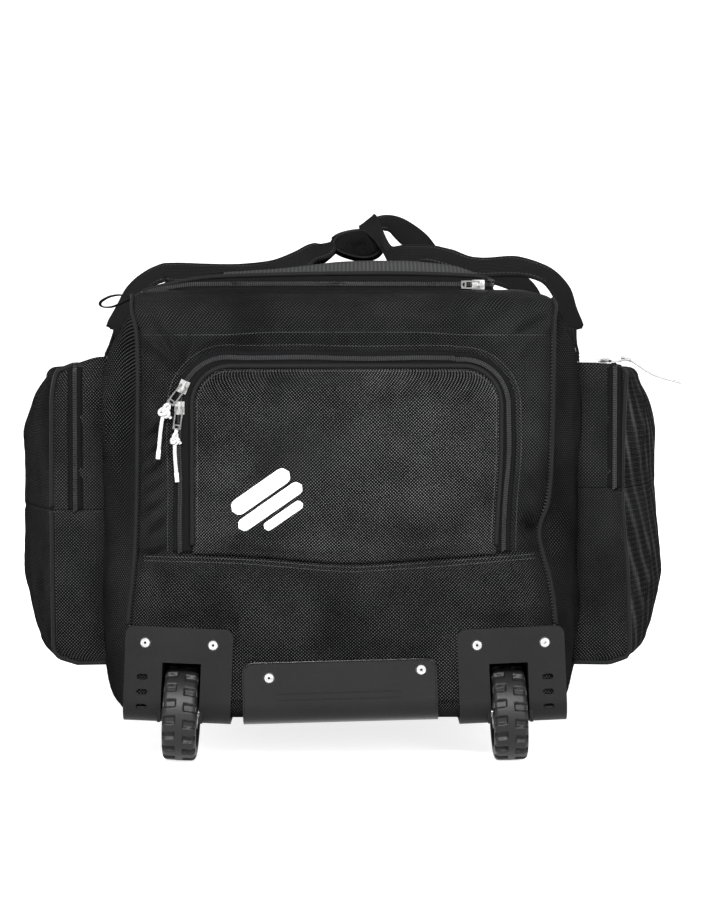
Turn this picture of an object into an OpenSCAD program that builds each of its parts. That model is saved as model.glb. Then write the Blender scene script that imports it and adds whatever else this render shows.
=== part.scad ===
// Wheeled hockey equipment bag: fabric shell, side-hinged lid, end pocket,
// two side pockets, wheel units, carry handles and tow handle. Millimetres.
// The wheel end faces -Y, +X is the bag's right seen from there, +Z is up.

/* [Bag] */
// Width of the main compartment at its end panels
bag_w = 398; // [390:1:410]
// How far each full side stands out beyond that in the middle
bulge = 47; // [40:1:50]
// Length of the main compartment over its end panels
bag_l = 880; // [860:1:940]
// Height of the fabric floor above the ground
floor_z = 42; // [40:1:46]
// Height of the top deck's outer face
deck_z = 443; // [440:1:446]
// Thickness of a padded fabric panel
panel_t = 3; // [2:0.5:4]

/* [End pocket] */
// Half the width of the flap, out to its zip
flap_half_w = 153; // [145:1:158]
// Height of the fold at the foot of the flap
flap_fold_z = 199; // [190:1:210]
// Height of the zip over the flap
flap_top_z = 380; // [370:1:384]
// Depth of the end pocket
pocket_depth = 45; // [35:1:60]

/* [Lid] */
// Right edge of the lid
lid_right = 140; // [136:1:146]
// Height of the lid's crown
lid_top_z = 470; // [466:1:472]

/* [Side pockets] */
// Length of a side pocket along the bag
side_l = 460; // [360:5:520]
// Reach of the crowned outer panel from the middle of the bag
side_reach = 325; // [318:1:328]
// Underside of a side pocket
side_low_z = 90; // [80:1:110]
// Top of a side pocket
side_top_z = 372; // [350:1:380]

/* [Wheels] */
// Radius of the tyre
tyre_r = 45; // [43:1:46]
// Width of the tyre
tyre_w = 32; // [28:1:33]
// Distance of a wheel from the middle of the bag
wheel_x = 154; // [150:1:156]
// Lean of each wheel unit on the sagging floor, in degrees
wheel_lean = 2.5; // [0:0.5:3]
// Radius of the axle
axle_r = 4; // [3:0.5:5]

/* [Webbing] */
// Width of the carry webbing
web_w = 38; // [25:1:50]
// Thickness of the carry webbing
web_t = 3; // [2:0.5:3]
// Distance of each handle leg from the middle of the bag's length
leg_y = 190; // [180:2:196]

/* [Hidden] */
$fn = 48;
far_proud = 30;
wheel_proud = 15;
y_front = -(bag_l + far_proud - wheel_proud) / 2;
y_far = y_front + bag_l;
half_w = bag_w / 2;
gap = 0.6;
shoulder_z = 405;
kick_r = 22;
wheel_y = y_front - wheel_proud + tyre_r;
tread_half = tyre_w / 2 - 7;
wheel_z = tyre_r * cos(wheel_lean) + tread_half * sin(wheel_lean);
plate_t = 3;
unit_half_w = 50;
unit_top_z = 129;
bay_half_w = 18;
bay_depth = 85;
bay_top_z = 96;
rivet_dx = 31.5;
rivet_z = 114;
rivet_r = 2.2;
skid_x = -4;
skid_half_w = 91;
skid_top_z = 99;
skid_rivets = [[-69.5, 84], [72, 88]];
feet_x = 150;
feet_y = y_far - 45;
feet_half = 30;
wall_top = deck_z - 16;
lid_front = y_front + 55;
lid_back = y_far - 50;
lid_edge_z = deck_z + 9;
// half-width of the main compartment along the bag, from the wheel end to its middle
plan_line = [[half_w, 0], [half_w + bulge * 0.4, 25], [half_w + bulge * 0.65, 60],
             [half_w + bulge * 0.82, 130], [half_w + bulge * 0.95, 250], [half_w + bulge, bag_l / 2]];
// section of the top deck, and of the lid over it, at mid-thickness
deck_line = [[-250, deck_z - 66], [-240, deck_z - 46], [-232, deck_z - 33], [-216, deck_z - 17],
             [-194, deck_z - 7], [-150, deck_z - 1.5], [152, deck_z - 1.5], [172, deck_z - 6],
             [216, deck_z - 17], [232, deck_z - 33], [240, deck_z - 46], [250, deck_z - 66]];
lid_line = [[-190, deck_z + 2], [-170, deck_z + 8], [-133, lid_top_z - 10], [-60, lid_top_z - 4],
            [0, lid_top_z - 1.5], [60, lid_top_z - 3], [118, lid_top_z - 9], [lid_right - 1.5, lid_edge_z]];
side_front = y_front + 75;
side_back = side_front + side_l;
side_mid = (side_front + side_back) / 2;
fold_left_z = 233;
fold_right_z = 254;
side_zip_x = 258;
side_edge_x = 275;
side_crown = side_reach - side_edge_x;
side_crown_z = (side_low_z + side_top_z) / 2;
plan_r = side_l * side_l / (8 * side_crown) + side_crown / 2;
rise = side_top_z - side_low_z;
elev_drop = 35;
elev_r = rise * rise / (8 * elev_drop) + elev_drop / 2;
pivot_z = 412;
strap_x = half_w + 38;
leg_slant = 44;
grip_half = 58;
grip_x = 38;
loop_z = deck_z - 10;
tow_z = 330;
tow_drop = 58;
tow_half = 75;
tow_grip_r = 13;
tow_y = y_far + panel_t / 2 + tow_grip_r + 1;
zip_r = 45;
tape = 9;
slider_clear = 0.6;

// ---- helpers ----

// Box between two corners
module block(lo, hi) {
  translate(lo) cube(hi - lo);
}

// Child drawn in the XZ plane, extruded from y0 to y1
module along_y(y0, y1) {
  translate([0, y1, 0]) rotate([90, 0, 0]) linear_extrude(y1 - y0) children();
}

// Child drawn in the YZ plane, extruded from x0 to x1
module along_x(x0, x1) {
  translate([x0, 0, 0]) rotate([90, 0, 90]) linear_extrude(x1 - x0) children();
}

// Child on the right, or its mirror image on the left
module on_side(side) {
  mirror([side < 0 ? 1 : 0, 0, 0]) children();
}

// Rectangle with two round top corners
module tombstone(half, low, high, r) {
  translate([-half, low]) square([2 * half, high - r - low]);
  translate([-half + r, low]) square([2 * (half - r), high - low]);
  for (s = [-1, 1]) translate([s * (half - r), high - r]) circle(r);
}

// Flat ribbon of thickness t along a list of points
function unit(v) = v / norm(v);
function ribbon_normal(p, i) =
  let (a = p[max(i - 1, 0)], b = p[min(i + 1, len(p) - 1)], d = unit(b - a)) [-d[1], d[0]];
function ribbon(p, t) = concat(
  [for (i = [0:len(p) - 1]) p[i] + ribbon_normal(p, i) * t / 2],
  [for (i = [len(p) - 1:-1:0]) p[i] - ribbon_normal(p, i) * t / 2]);

// Round tube swept along a list of points in space
function tube_frame(p, i) =
  let (a = p[max(i - 1, 0)], b = p[min(i + 1, len(p) - 1)], t = unit(b - a),
       side = abs(t[2]) > 0.9 ? [0, 1, 0] : [0, 0, 1], u = unit(cross(side, t)))
  [u, cross(t, u)];
module tube(p, r, sides = 8) {
  rings = len(p);
  points = [for (i = [0:rings - 1], k = [0:sides - 1])
    let (f = tube_frame(p, i), a = 360 * k / sides)
    p[i] + r * (f[0] * cos(a) + f[1] * sin(a))];
  walls = [for (i = [0:rings - 2], k = [0:sides - 1])
    let (n = (k + 1) % sides)
    [i * sides + n, i * sides + k, (i + 1) * sides + k, (i + 1) * sides + n]];
  caps = [[for (k = [0:sides - 1]) k],
          [for (k = [sides - 1:-1:0]) (rings - 1) * sides + k]];
  polyhedron(points, concat(walls, caps), convexity = 4);
}

// ---- wheel units ----

// Places its child in a wheel unit's leaning frame, drawn for the right side
module wheel_unit(side) {
  on_side(side) translate([wheel_x, 0, wheel_z]) rotate([0, -wheel_lean, 0])
    translate([-wheel_x, 0, -wheel_z]) children();
}

// Section of a moulded corner plate: down the end, round the kick, under the floor
module corner_section(top, under) {
  low = floor_z - plate_t - 1;
  y0 = y_front - plate_t;
  translate([y0, low + kick_r]) square([plate_t, top - low - kick_r]);
  translate([y0 + kick_r, low]) square([under, plate_t]);
  translate([y0 + kick_r, low + kick_r]) intersection() {
    difference() {
      circle(kick_r);
      circle(kick_r - plate_t);
    }
    translate([-kick_r, -kick_r]) square(kick_r);
  }
}

// Rounds the two upper corners of a plate seen from the end
module face_trim(x0, x1, top, under, r) {
  along_y(y_front - 30, y_front + under + 60)
    translate([(x0 + x1) / 2, 0]) tombstone((x1 - x0) / 2, 0, top, r);
}

module rivet_holes(points, r) {
  for (p = points) translate([p[0], y_front - 20, p[1]]) rotate([-90, 0, 0]) cylinder(r = r, h = 60);
}

function unit_rivets() = [[wheel_x + 3 - rivet_dx, rivet_z], [wheel_x + 3 + rivet_dx, rivet_z]];

// Room for the wheel, open to the front and below
module bay_room() {
  block([wheel_x - bay_half_w, y_front - 20, 0],
        [wheel_x + bay_half_w, y_front + bay_depth, bay_top_z]);
}

// Corner plate of a wheel unit, cut where the floor panel would meet it
module housing_plate(side) {
  x0 = wheel_x + 3 - unit_half_w;
  x1 = wheel_x + 3 + unit_half_w;
  difference() {
    wheel_unit(side) difference() {
      intersection() {
        along_x(x0, x1) corner_section(unit_top_z, 60);
        face_trim(x0, x1, unit_top_z, 80, 8);
      }
      bay_room();
      for (s = [-1, 1]) translate([wheel_x + s * 29, wheel_y, wheel_z]) rotate([0, 90, 0])
        cylinder(r = 8, h = 5.5, center = true);
      rivet_holes(unit_rivets(), rivet_r);
      // row of oval slots down the outer side of the plate
      for (i = [0:3]) along_y(y_front - 10, y_front + 1)
        translate([wheel_x + 36, 82 - 14 * i]) hull() for (s = [-1, 1])
          translate([s * 2.5, 0]) circle(2.6, $fn = 24);
    }
    shell_inside();
  }
}

module wheel_housing(side) {
  housing_plate(side);
  wheel_unit(side) difference() {
    union() {
      block([wheel_x - bay_half_w - 3, y_front - 1, floor_z - 2],
            [wheel_x + bay_half_w + 3, y_front + bay_depth + 3, bay_top_z + 3]);
      for (s = [-1, 1]) translate([wheel_x + s * (bay_half_w + 5), wheel_y, wheel_z])
        rotate([0, 90, 0]) cylinder(r = 9, h = 6, center = true);
    }
    bay_room();
    translate([wheel_x - 60, wheel_y, wheel_z]) rotate([0, 90, 0]) cylinder(r = axle_r, h = 120);
  }
}

module axle(side) {
  wheel_unit(side) translate([wheel_x, wheel_y, wheel_z]) rotate([0, 90, 0]) {
    cylinder(r = axle_r, h = 54, center = true);
    for (s = [-1, 1]) translate([0, 0, s * 28.25]) cylinder(r = 7, h = 2.5, center = true);
  }
}

module bush(side) {
  wheel_unit(side) for (s = [-1, 1]) translate([wheel_x + s * (tyre_w / 2 - 4.5), wheel_y, wheel_z])
    rotate([0, 90, 0]) difference() {
      cylinder(r = 11, h = 7, center = true);
      cylinder(r = axle_r + 0.05, h = 8, center = true);
    }
}

module tyre(side) {
  shoulder = tyre_w / 2 - tread_half;
  rim_r = 31;
  rows = 18;
  wheel_unit(side) translate([wheel_x, wheel_y, wheel_z]) rotate([0, 90, 0]) difference() {
    intersection() {
      cylinder(r = tyre_r, h = tyre_w, center = true, $fn = 96);
      rotate_extrude($fn = 96) {
        translate([0, -tread_half]) square([tyre_r, 2 * tread_half]);
        for (s = [-1, 1]) translate([tyre_r - shoulder - 2, s * tread_half]) circle(shoulder);
        translate([0, -tyre_w / 2]) square([tyre_r - shoulder - 2, tyre_w]);
      }
    }
    cylinder(r = rim_r, h = tyre_w + 2, center = true, $fn = 96);
    for (i = [0:rows - 1], s = [-1, 1]) rotate([0, 0, 360 * (i + 0.25 * s + 0.25) / rows])
      translate([tyre_r - 2.5, -3.4, s > 0 ? 3.5 : -tyre_w / 2 - 1])
        cube([6, 6.8, tyre_w / 2 - 2.5]);
  }
}

module hub(side) {
  wheel_unit(side) translate([wheel_x, wheel_y, wheel_z]) rotate([0, 90, 0]) difference() {
    union() {
      cylinder(r = 31, h = 22, center = true, $fn = 96);
      cylinder(r = 15, h = tyre_w - 2, center = true);
    }
    cylinder(r = 5, h = tyre_w, center = true);
    for (s = [-1, 1]) translate([0, 0, s * (tyre_w / 2 - 4)]) cylinder(r = 11.05, h = 8.2, center = true);
    for (a = [0:60:300]) rotate([0, 0, a]) translate([22, 0, 0]) cylinder(r = 5, h = 30, center = true);
  }
}

// ---- moulded plates, rivets, feet ----

module skid_face() {
  translate([skid_x, 0, 40]) rotate([0, -1.5, 0]) translate([-skid_x, 0, -40]) children();
}

module centre_skid_plate() {
  difference() {
    skid_face() difference() {
      intersection() {
        along_x(skid_x - skid_half_w, skid_x + skid_half_w) corner_section(skid_top_z, 60);
        face_trim(skid_x - skid_half_w, skid_x + skid_half_w, skid_top_z, 80, 10);
      }
      rivet_holes(skid_rivets, rivet_r);
      for (z = [62, 68]) block([skid_x - 60, y_front - 4, z], [skid_x + 56, y_front - 2.2, z + 1.5]);
    }
    shell_inside();
  }
}

// Shanks or holes of a foot's two screws, reaching h below the floor
module foot_screws(x, r, h) {
  for (s = [-1, 1]) translate([x + s * 18, feet_y, floor_z - h]) cylinder(r = r, h = h + panel_t + 5);
}

// Foot with rounded ends, screwed up through the floor
module far_feet() {
  for (s = [-1, 1]) difference() {
    translate([s * feet_x, feet_y, 0]) linear_extrude(floor_z - 0.5) {
      square([2 * feet_half - 36, 36], center = true);
      for (t = [-1, 1]) translate([t * (feet_half - 18), 0]) circle(18);
    }
    foot_screws(s * feet_x, rivet_r, floor_z - 20);
  }
}

module rivet(p) {
  translate([p[0], y_front - plate_t, p[1]]) rotate([-90, 0, 0]) difference() {
    union() {
      translate([0, 0, -1.5]) cylinder(r1 = 4.2, r2 = 5.2, h = 1.5);
      cylinder(r = rivet_r, h = plate_t + panel_t + 2);
    }
    translate([0, 0, -2]) cylinder(r = 1.2, h = 5);
  }
}

module rivets() {
  for (side = [-1, 1]) wheel_unit(side) for (p = unit_rivets()) rivet(p);
  skid_face() for (p = skid_rivets) rivet(p);
  for (s = [-1, 1]) foot_screws(s * feet_x, rivet_r, floor_z - 20.2);
}

module washer(p) {
  translate([p[0], y_front + panel_t, p[1]]) rotate([-90, 0, 0]) difference() {
    cylinder(r = 7, h = 1.5);
    translate([0, 0, -1]) cylinder(r = rivet_r, h = 4);
  }
}

module rivet_washers() {
  for (side = [-1, 1]) wheel_unit(side) for (p = unit_rivets()) washer(p);
  skid_face() for (p = skid_rivets) washer(p);
}

// ---- fabric shell ----

// Section of a face that lies proud of the deck's outer face by h
function deck_top(h = 0) =
  [for (i = [0:len(deck_line) - 1]) deck_line[i] + ribbon_normal(deck_line, i) * (panel_t / 2 + h)];

// Openings in the shell for the wheel bays and the ends of their axles
module bay_cutouts() {
  for (side = [-1, 1]) wheel_unit(side)
    block([wheel_x - bay_half_w - 13, y_front - 9, 0],
          [wheel_x + bay_half_w + 13, y_front + bay_depth + 4.5, bay_top_z + 4.5]);
}

module all_rivet_holes() {
  for (side = [-1, 1]) wheel_unit(side) rivet_holes(unit_rivets(), rivet_r + 0.05);
  skid_face() rivet_holes(skid_rivets, rivet_r + 0.05);
}

// Floor plan of the main compartment, drawn in by inset at the sides
module floor_plan(inset) {
  right = [for (p = plan_line) [p[0] - inset, y_front + p[1]]];
  far = [for (i = [len(plan_line) - 1:-1:0]) [plan_line[i][0] - inset, y_far - plan_line[i][1]]];
  polygon(concat(right, far, [for (p = concat(right, far)) [-p[0], -p[1] + y_front + y_far]]));
}

module bottom_panel() {
  difference() {
    intersection() {
      translate([0, 0, floor_z]) linear_extrude(panel_t) floor_plan(panel_t);
      block([-half_w - bulge, y_front + kick_r, 0], [half_w + bulge, y_far - panel_t, floor_z + panel_t]);
    }
    bay_cutouts();
    for (s = [-1, 1]) foot_screws(s * feet_x, rivet_r + 0.05, 20);
  }
}

// Stiff board on the floor, behind the wheel bays
module base_board() {
  difference() {
    block([-185, y_front + bay_depth + 8, floor_z + panel_t], [185, y_far - 8, floor_z + panel_t + 3]);
    for (s = [-1, 1]) foot_screws(s * feet_x, 6, 20);
  }
}

module wheel_end_lower_panel() {
  difference() {
    along_x(-half_w + panel_t, half_w - panel_t) {
      translate([y_front, floor_z + kick_r]) square([panel_t, flap_fold_z - 2 - floor_z - kick_r]);
      translate([y_front + kick_r, floor_z + kick_r]) intersection() {
        difference() {
          circle(kick_r);
          circle(kick_r - panel_t);
        }
        translate([-kick_r, -kick_r]) square(kick_r);
      }
    }
    bay_cutouts();
    all_rivet_holes();
  }
}

// End panel round the pocket's zip, stepped to take the tape
module end_pocket_border() {
  difference() {
    along_y(y_front, y_front + panel_t) difference() {
      translate([-half_w + panel_t, flap_fold_z - 2])
        square([2 * (half_w - panel_t), shoulder_z - flap_fold_z + 2]);
      tombstone(flap_half_w + 2, flap_fold_z - 3, flap_top_z + 2, zip_r + 2);
    }
    along_y(y_front - 1, y_front + 1.5)
      tombstone(flap_half_w + tape, flap_fold_z + gap, flap_top_z + tape, zip_r + tape);
  }
}

// Floor and back wall of the end pocket
module end_pocket_back() {
  y1 = y_front + pocket_depth;
  block([-half_w + panel_t, y_front + panel_t, flap_fold_z - 5], [half_w - panel_t, y1, flap_fold_z - 2]);
  block([-half_w + panel_t, y1, flap_fold_z - 5], [half_w - panel_t, y1 + panel_t, wall_top - 2]);
}

// Region under the top deck's outer face, as an XZ outline
module under_deck() {
  polygon(concat(deck_top(), [[250, 0], [-250, 0]]));
}

module top_gusset_panel() {
  path = [[y_front + 1.5, shoulder_z], [y_front + 4, shoulder_z + 14], [y_front + 12, deck_z - 12],
          [y_front + 30, deck_z - 4], [lid_front + 4, deck_z - 1.5]];
  intersection() {
    along_x(-half_w + panel_t + 1, half_w - panel_t - 1) intersection() {
      polygon(ribbon(path, panel_t));
      translate([y_front, shoulder_z]) square([100, 100]);
    }
    along_y(y_front - 1, lid_front + 10) under_deck();
  }
}

// Outline of a side wall: round at the kick, cut back under the gusset
module side_outline() {
  translate([y_front + kick_r, floor_z]) square([bag_l - kick_r, 100]);
  translate([y_front + kick_r, floor_z + kick_r]) circle(kick_r);
  polygon([[y_front, floor_z + kick_r], [y_far, floor_z + kick_r], [y_far, wall_top + 10],
           [y_front + 34, wall_top + 10], [y_front + 20, wall_top], [y_front + 6, wall_top - 8],
           [y_front, shoulder_z]]);
}

// Everything on the inner side of the shell's outer face at the wheel end
module shell_inside() {
  along_x(-half_w - bulge, half_w + bulge) side_outline();
}

module deck_ribbon(y0, y1) {
  along_y(y0, y1) polygon(ribbon(deck_line, panel_t));
}

// Standing wall, bowed out by what the bag holds
module side_panel(side) {
  on_side(side) difference() {
    intersection() {
      linear_extrude(deck_z) difference() {
        floor_plan(0);
        floor_plan(panel_t);
      }
      along_x(half_w - panel_t, half_w + bulge + 1) side_outline();
      along_y(y_front, y_far) under_deck();
    }
    deck_ribbon(y_front - 1, y_far + 1);
  }
}

module far_end_panel() {
  difference() {
    intersection() {
      block([-half_w + panel_t, y_far - panel_t, floor_z], [half_w - panel_t, y_far, deck_z]);
      along_y(y_front, y_far) under_deck();
    }
    deck_ribbon(y_front, y_far + 1);
  }
}

// Top deck round the lid, rounded down to the side walls
module deck_panel() {
  difference() {
    intersection() {
      deck_ribbon(lid_front + 4.5, y_far);
      linear_extrude(deck_z + 10) floor_plan(0);
    }
    block([-184, lid_front + 10, deck_z - 20], [lid_right - 8, lid_back - 8, deck_z + 1]);
  }
}

// Round cord sewn into each front corner seam
module corner_piping() {
  low = unit_top_z + 6;
  for (s = [-1, 1]) difference() {
    translate([s * (half_w + 1), y_front, low]) cylinder(r = 3, h = shoulder_z - low);
    linear_extrude(600) floor_plan(0);
  }
}

// ---- lid ----

// Band between the deck and the lid, as an XZ outline
module lid_band(high) {
  polygon(concat([for (p = lid_line) p - [0, high]], [[lid_right, 300], [-190, 300]]));
}

// Three open edges of the lid: front, right and far
module lid_edges() {
  difference() {
    block([-180, lid_front, 400], [lid_right, lid_back, 500]);
    block([-181, lid_front + panel_t, 399], [lid_right - panel_t, lid_back - panel_t, 501]);
  }
}

module lid_panel() {
  along_y(lid_front, lid_back) polygon(ribbon(lid_line, panel_t));
}

// Welt under the lid's edges, down to the zip
module lid_rim() {
  intersection() {
    lid_edges();
    along_y(lid_front, lid_back) difference() {
      lid_band(panel_t / 2 + 0.4);
      polygon(concat(lid_split, [[lid_right + 1, 300], [-191, 300]]));
    }
  }
}

// Line where the two halves of the lid's zip meet
lid_split = [[-191, deck_z - 4], [-170, deck_z + 3], [-140, deck_z + 6], [lid_right + 1, deck_z + 6]];

// Zip tape that stands on the deck, under the coil
module lid_zip_lower() {
  difference() {
    intersection() {
      lid_edges();
      along_y(lid_front, lid_back) polygon(concat([for (p = lid_split) p - [0, gap]],
                                                  [[lid_right + 1, deck_z - 10], [-191, deck_z - 10]]));
    }
    along_y(lid_front - 1, lid_back + 1) under_deck();
  }
}

// ---- end pocket flap ----

module end_flap() {
  along_y(y_front - 1, y_front - 1 + panel_t)
    tombstone(flap_half_w - tape, flap_fold_z + gap, flap_top_z - tape, zip_r - tape);
}

// Ring of zip tape from inner to outer, both measured from the coil, open at the foot
module zip_ring(inner, outer, y0, y1) {
  along_y(y0, y1) difference() {
    tombstone(flap_half_w + outer, flap_fold_z + gap, flap_top_z + outer, zip_r + outer);
    tombstone(flap_half_w + inner, flap_fold_z - 2, flap_top_z + inner, zip_r + inner);
  }
}

// ---- side pockets ----

// Crowned block that a side pocket's outer skin follows, shrunk by inset
module side_form(inset) {
  intersection() {
    block([half_w, side_front + inset, side_low_z + inset],
          [side_reach + 5, side_back - inset, side_top_z - inset]);
    translate([side_reach - plan_r, side_mid, 0]) cylinder(r = plan_r - inset, h = 500, $fn = 360);
    translate([side_reach - elev_r, side_front - 5, side_crown_z]) rotate([-90, 0, 0])
      cylinder(r = elev_r - inset, h = side_l + 10, $fn = 256);
  }
}

module side_shell() {
  difference() {
    side_form(0);
    side_form(panel_t);
  }
}

function fold_z(side) = side < 0 ? fold_left_z : fold_right_z;

// Walls of the pocket that stay put
module side_pocket(side) {
  on_side(side) difference() {
    side_shell();
    block([side_zip_x - 6, side_front - 1, fold_z(side)], [side_reach + 9, side_back + 1, side_top_z + 1]);
    linear_extrude(600) floor_plan(0);
  }
}

// Part of the shell above the fold, from x0 to x1
module side_above(side, x0, x1) {
  on_side(side) intersection() {
    side_shell();
    block([x0, side_front - 1, fold_z(side) + gap], [x1, side_back + 1, side_top_z + 1]);
  }
}

// ---- carry handles, loop, tow handle ----

// Sections of the two handles, from the side wall up to the grip
right_profile = [[strap_x, pivot_z], [229, 434], [222, 455], [207, 473], [181, 483], [139, 482],
                 [112, 496], [91, 520], [66, 536], [44, 539], [26, 530], [6, 512]];
left_profile = [[-strap_x, pivot_z], [-229, 430], [-220, 447], [-211, 459], [-197, 471], [-180, 475],
                [-120, 475], [-81, 479], [-56, 489], [-38, 499], [-20, 504], [-2, 509]];

// Plan of a handle: two legs that close in on the grip
module handle_plan(s) {
  reach = strap_x + 14;
  grip = s > 0 ? 6 : 2;
  difference() {
    polygon([[s * reach, -leg_y - leg_slant / 2], [s * reach, leg_y + leg_slant / 2],
             [s * grip, grip_half + leg_slant], [s * grip, -grip_half - leg_slant]]);
    polygon([[s * (reach + 1), -leg_y + leg_slant / 2], [s * (reach + 1), leg_y - leg_slant / 2],
             [s * (grip + grip_x), grip_half], [s * (grip + grip_x), -grip_half]]);
  }
}

module handle(s, profile) {
  intersection() {
    along_y(-260, 260) polygon(ribbon(profile, web_t));
    translate([0, 0, 380]) linear_extrude(200) handle_plan(s);
  }
}

// Padded wrap closed round the right handle's grip
module handle_wrap() {
  difference() {
    along_y(-52, 52) difference() {
      translate([22, 508]) circle(19);
      polygon([[2, 485], [2, 540], [-20, 540], [-20, 485]]);
    }
    along_y(-60, 60) polygon(ribbon(right_profile, web_t + 0.1));
  }
}

// Everything inside the outer face of the main compartment
module body_form() {
  intersection() {
    linear_extrude(600) floor_plan(0);
    along_y(y_front, y_far) under_deck();
  }
}

// Ends of the webbing, sewn down each side from the deck's shoulder to low_z
module leg_anchor(y, low_z) {
  difference() {
    intersection() {
      linear_extrude(600) floor_plan(-web_t);
      along_y(y - web_w / 2, y + web_w / 2)
        polygon(concat(deck_top(web_t), [[260, 0], [-260, 0]]));
      block([strap_x, -300, low_z], [strap_x + 20, 300, pivot_z - 3]);
    }
    body_form();
  }
}

module webbing_anchors() {
  for (s = [-1, 1]) on_side(s) {
    leg_anchor(-leg_y, side_top_z + 2);
    leg_anchor(leg_y, floor_z + 20);
    block([tow_half - web_w / 2, y_far, tow_z + 4], [tow_half + web_w / 2, y_far + 2, tow_z + 54]);
  }
}

// Flat webbing loop standing out from the left front corner
module corner_loop() {
  path = [[-2, -4], [-10, -5.5], [-19, -5], [-25, 0], [-19, 5], [-10, 5.5], [-2, 4]];
  difference() {
    translate([-half_w - 7, 0, loop_z]) along_y(y_front + 34, y_front + 52) polygon(ribbon(path, 1.5));
    body_form();
  }
}

module tow_plan() {
  for (s = [-1, 1]) translate([s * tow_half - web_w / 2, tow_z - tow_drop]) square([web_w, tow_drop]);
  translate([-tow_half - web_w / 2, tow_z - tow_drop - 12]) square([2 * tow_half + web_w, 24]);
}

module tow_strap() {
  along_y(tow_y - 1.25, tow_y + 1.25) tow_plan();
  // legs reach back to the anchors at the top
  for (s = [-1, 1]) block([s * tow_half - web_w / 2, y_far + gap, tow_z - 2.5],
                          [s * tow_half + web_w / 2, tow_y - 1.25, tow_z]);
}

module tow_grip() {
  translate([-54, tow_y, tow_z - tow_drop]) rotate([0, 90, 0]) difference() {
    cylinder(r = tow_grip_r, h = 108);
    translate([-12.1, -1.3, -1]) cube([24.2, 2.6, 110]);
  }
}

// ---- zip sliders, pulls and laces ----
// Drawn lying on a zip that runs along Y, nose towards -Y, tape at z = 0

module slider_body() {
  difference() {
    union() {
      translate([-4.5, -6, 0]) cube([9, 12, 2]);
      translate([-1.1, -4.5, 1]) cube([2.2, 9, 4.5]);
    }
    translate([-2, -2.2, 2.05]) cube([4, 4.4, 2.3]);
  }
}

// Wire tab through the bridge, lying towards -Y
module pull_tab(l) {
  difference() {
    translate([-3.8, -l, 2.7]) cube([7.6, l + 1.4, 1]);
    translate([-2.6, -l + 4.5, 2]) cube([5.2, l - 4.8, 3]);
    translate([-1.8, -l + 1.2, 2]) cube([3.6, 2.2, 3]);
  }
}

// Slider on the end pocket's zip, pull hanging
module on_end_zip(at, turn) {
  translate([at[0], y_front - 1 - slider_clear, at[1]]) rotate([0, turn, 0]) rotate([90, 0, 0]) children();
}

upper_turn = 23;
upper_at = [-(flap_half_w - zip_r) - zip_r * cos(upper_turn), flap_top_z - zip_r + zip_r * sin(upper_turn)];
lower_at = [-flap_half_w, flap_top_z - zip_r - 2];
tab_l = 20;
lid_tab_l = 16;
upper_pull_turn = 38;
lower_pull_turn = 8;

// Laces as points in a pull's own frame, leaving its eye towards -Y
swing_lace = [[0, -0.3, 3.2], [0.3, -6, 4], [2, -13, 4.6], [6.5, -21.5, 4.6], [12, -30.5, 4.6],
              [17.5, -39, 4.6], [22.5, -47, 4.6]];
hang_lace = [[0, -0.3, 3.2], [0, -7, 4], [0.6, -15, 4.6], [2.2, -25, 4.6], [4.6, -36, 4.6], [7.4, -48, 4.6]];
out_lace = [[0, -0.3, 3.2], [0, -7, 4.6], [0, -15, 2], [0, -25, -5], [0, -36, -11], [0, -48, -15],
            [0, -60, -18], [0, -71, -21]];
flat_lace = [[0, -0.3, 3.2], [0, -7, 3.6], [0, -16, 3.6], [0, -28, 3.4], [0, -40, 3.4], [0, -50, 3.4]];

module lace(points) {
  translate([0, -tab_l, 0]) tube(points, 1.8);
}

// Slider on the zip over a side pocket's top; turn sets where its pull points
module on_side_zip(side, y, turn) {
  translate([side * side_zip_x, y, side_top_z + slider_clear]) rotate([0, 0, turn]) children();
}

// Slider on the lid's front zip, near its right corner
module on_lid_zip() {
  translate([lid_right - 14, lid_front - slider_clear, deck_z + 5.5]) rotate([0, 90, 0]) rotate([90, 0, 0])
    children();
}

// ---- nodes ----

color("#17181a") bottom_panel();
color("#2a2a2c") base_board();
color("#1c1d1f") wheel_end_lower_panel();
color("#1e1f21") end_pocket_border();
color("#151516") end_pocket_back();
color("#1b1b1d") top_gusset_panel();
color("#1a1b1d") side_panel(-1);  // side_panel_left
color("#1a1b1d") side_panel(1);  // side_panel_right
color("#1a1b1d") far_end_panel();
color("#1d1e20") deck_panel();
color("#121213") corner_piping();
color("#202022") wheel_housing(-1);  // wheel_housing_left
color("#202022") wheel_housing(1);  // wheel_housing_right
color("#242426") centre_skid_plate();
color("#d4d4d2") rivets();
color("#b9b9b7") rivet_washers();
color("#b0b0b0") for (s = [-1, 1]) axle(s);  // wheel_axles
color("#8a8a8a") bush(-1);  // wheel_bushes_left
color("#8a8a8a") bush(1);  // wheel_bushes_right
color("#202022") far_feet();
color("#1b1c1e") side_pocket(-1);  // side_pocket_left
color("#1b1c1e") side_pocket(1);  // side_pocket_right
color("#111112") lid_zip_lower();
color("#101011") zip_ring(gap / 2, tape, y_front - 0.5, y_front + 1.5);  // end_zip_outer
color("#101011") for (s = [-1, 1]) side_above(s, side_zip_x - 6, side_zip_x - gap / 2);  // side_zip_inner
color("#141415") webbing_anchors();
color("#0f0f10") corner_loop();
color("#19191a") tyre(-1);  // tyre_left
color("#19191a") tyre(1);  // tyre_right
color("#2a2a2b") hub(-1);  // hub_left
color("#2a2a2b") hub(1);  // hub_right
color("#4a4b4d") lid_panel();
color("#111112") lid_rim();
color("#202123") end_flap();
color("#101011") zip_ring(-tape, -gap / 2, y_front - 1, y_front + 1.5);  // end_zip_inner
color("#1b1c1e") side_above(-1, side_zip_x + 5, side_reach + 9);  // side_flap_left
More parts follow.
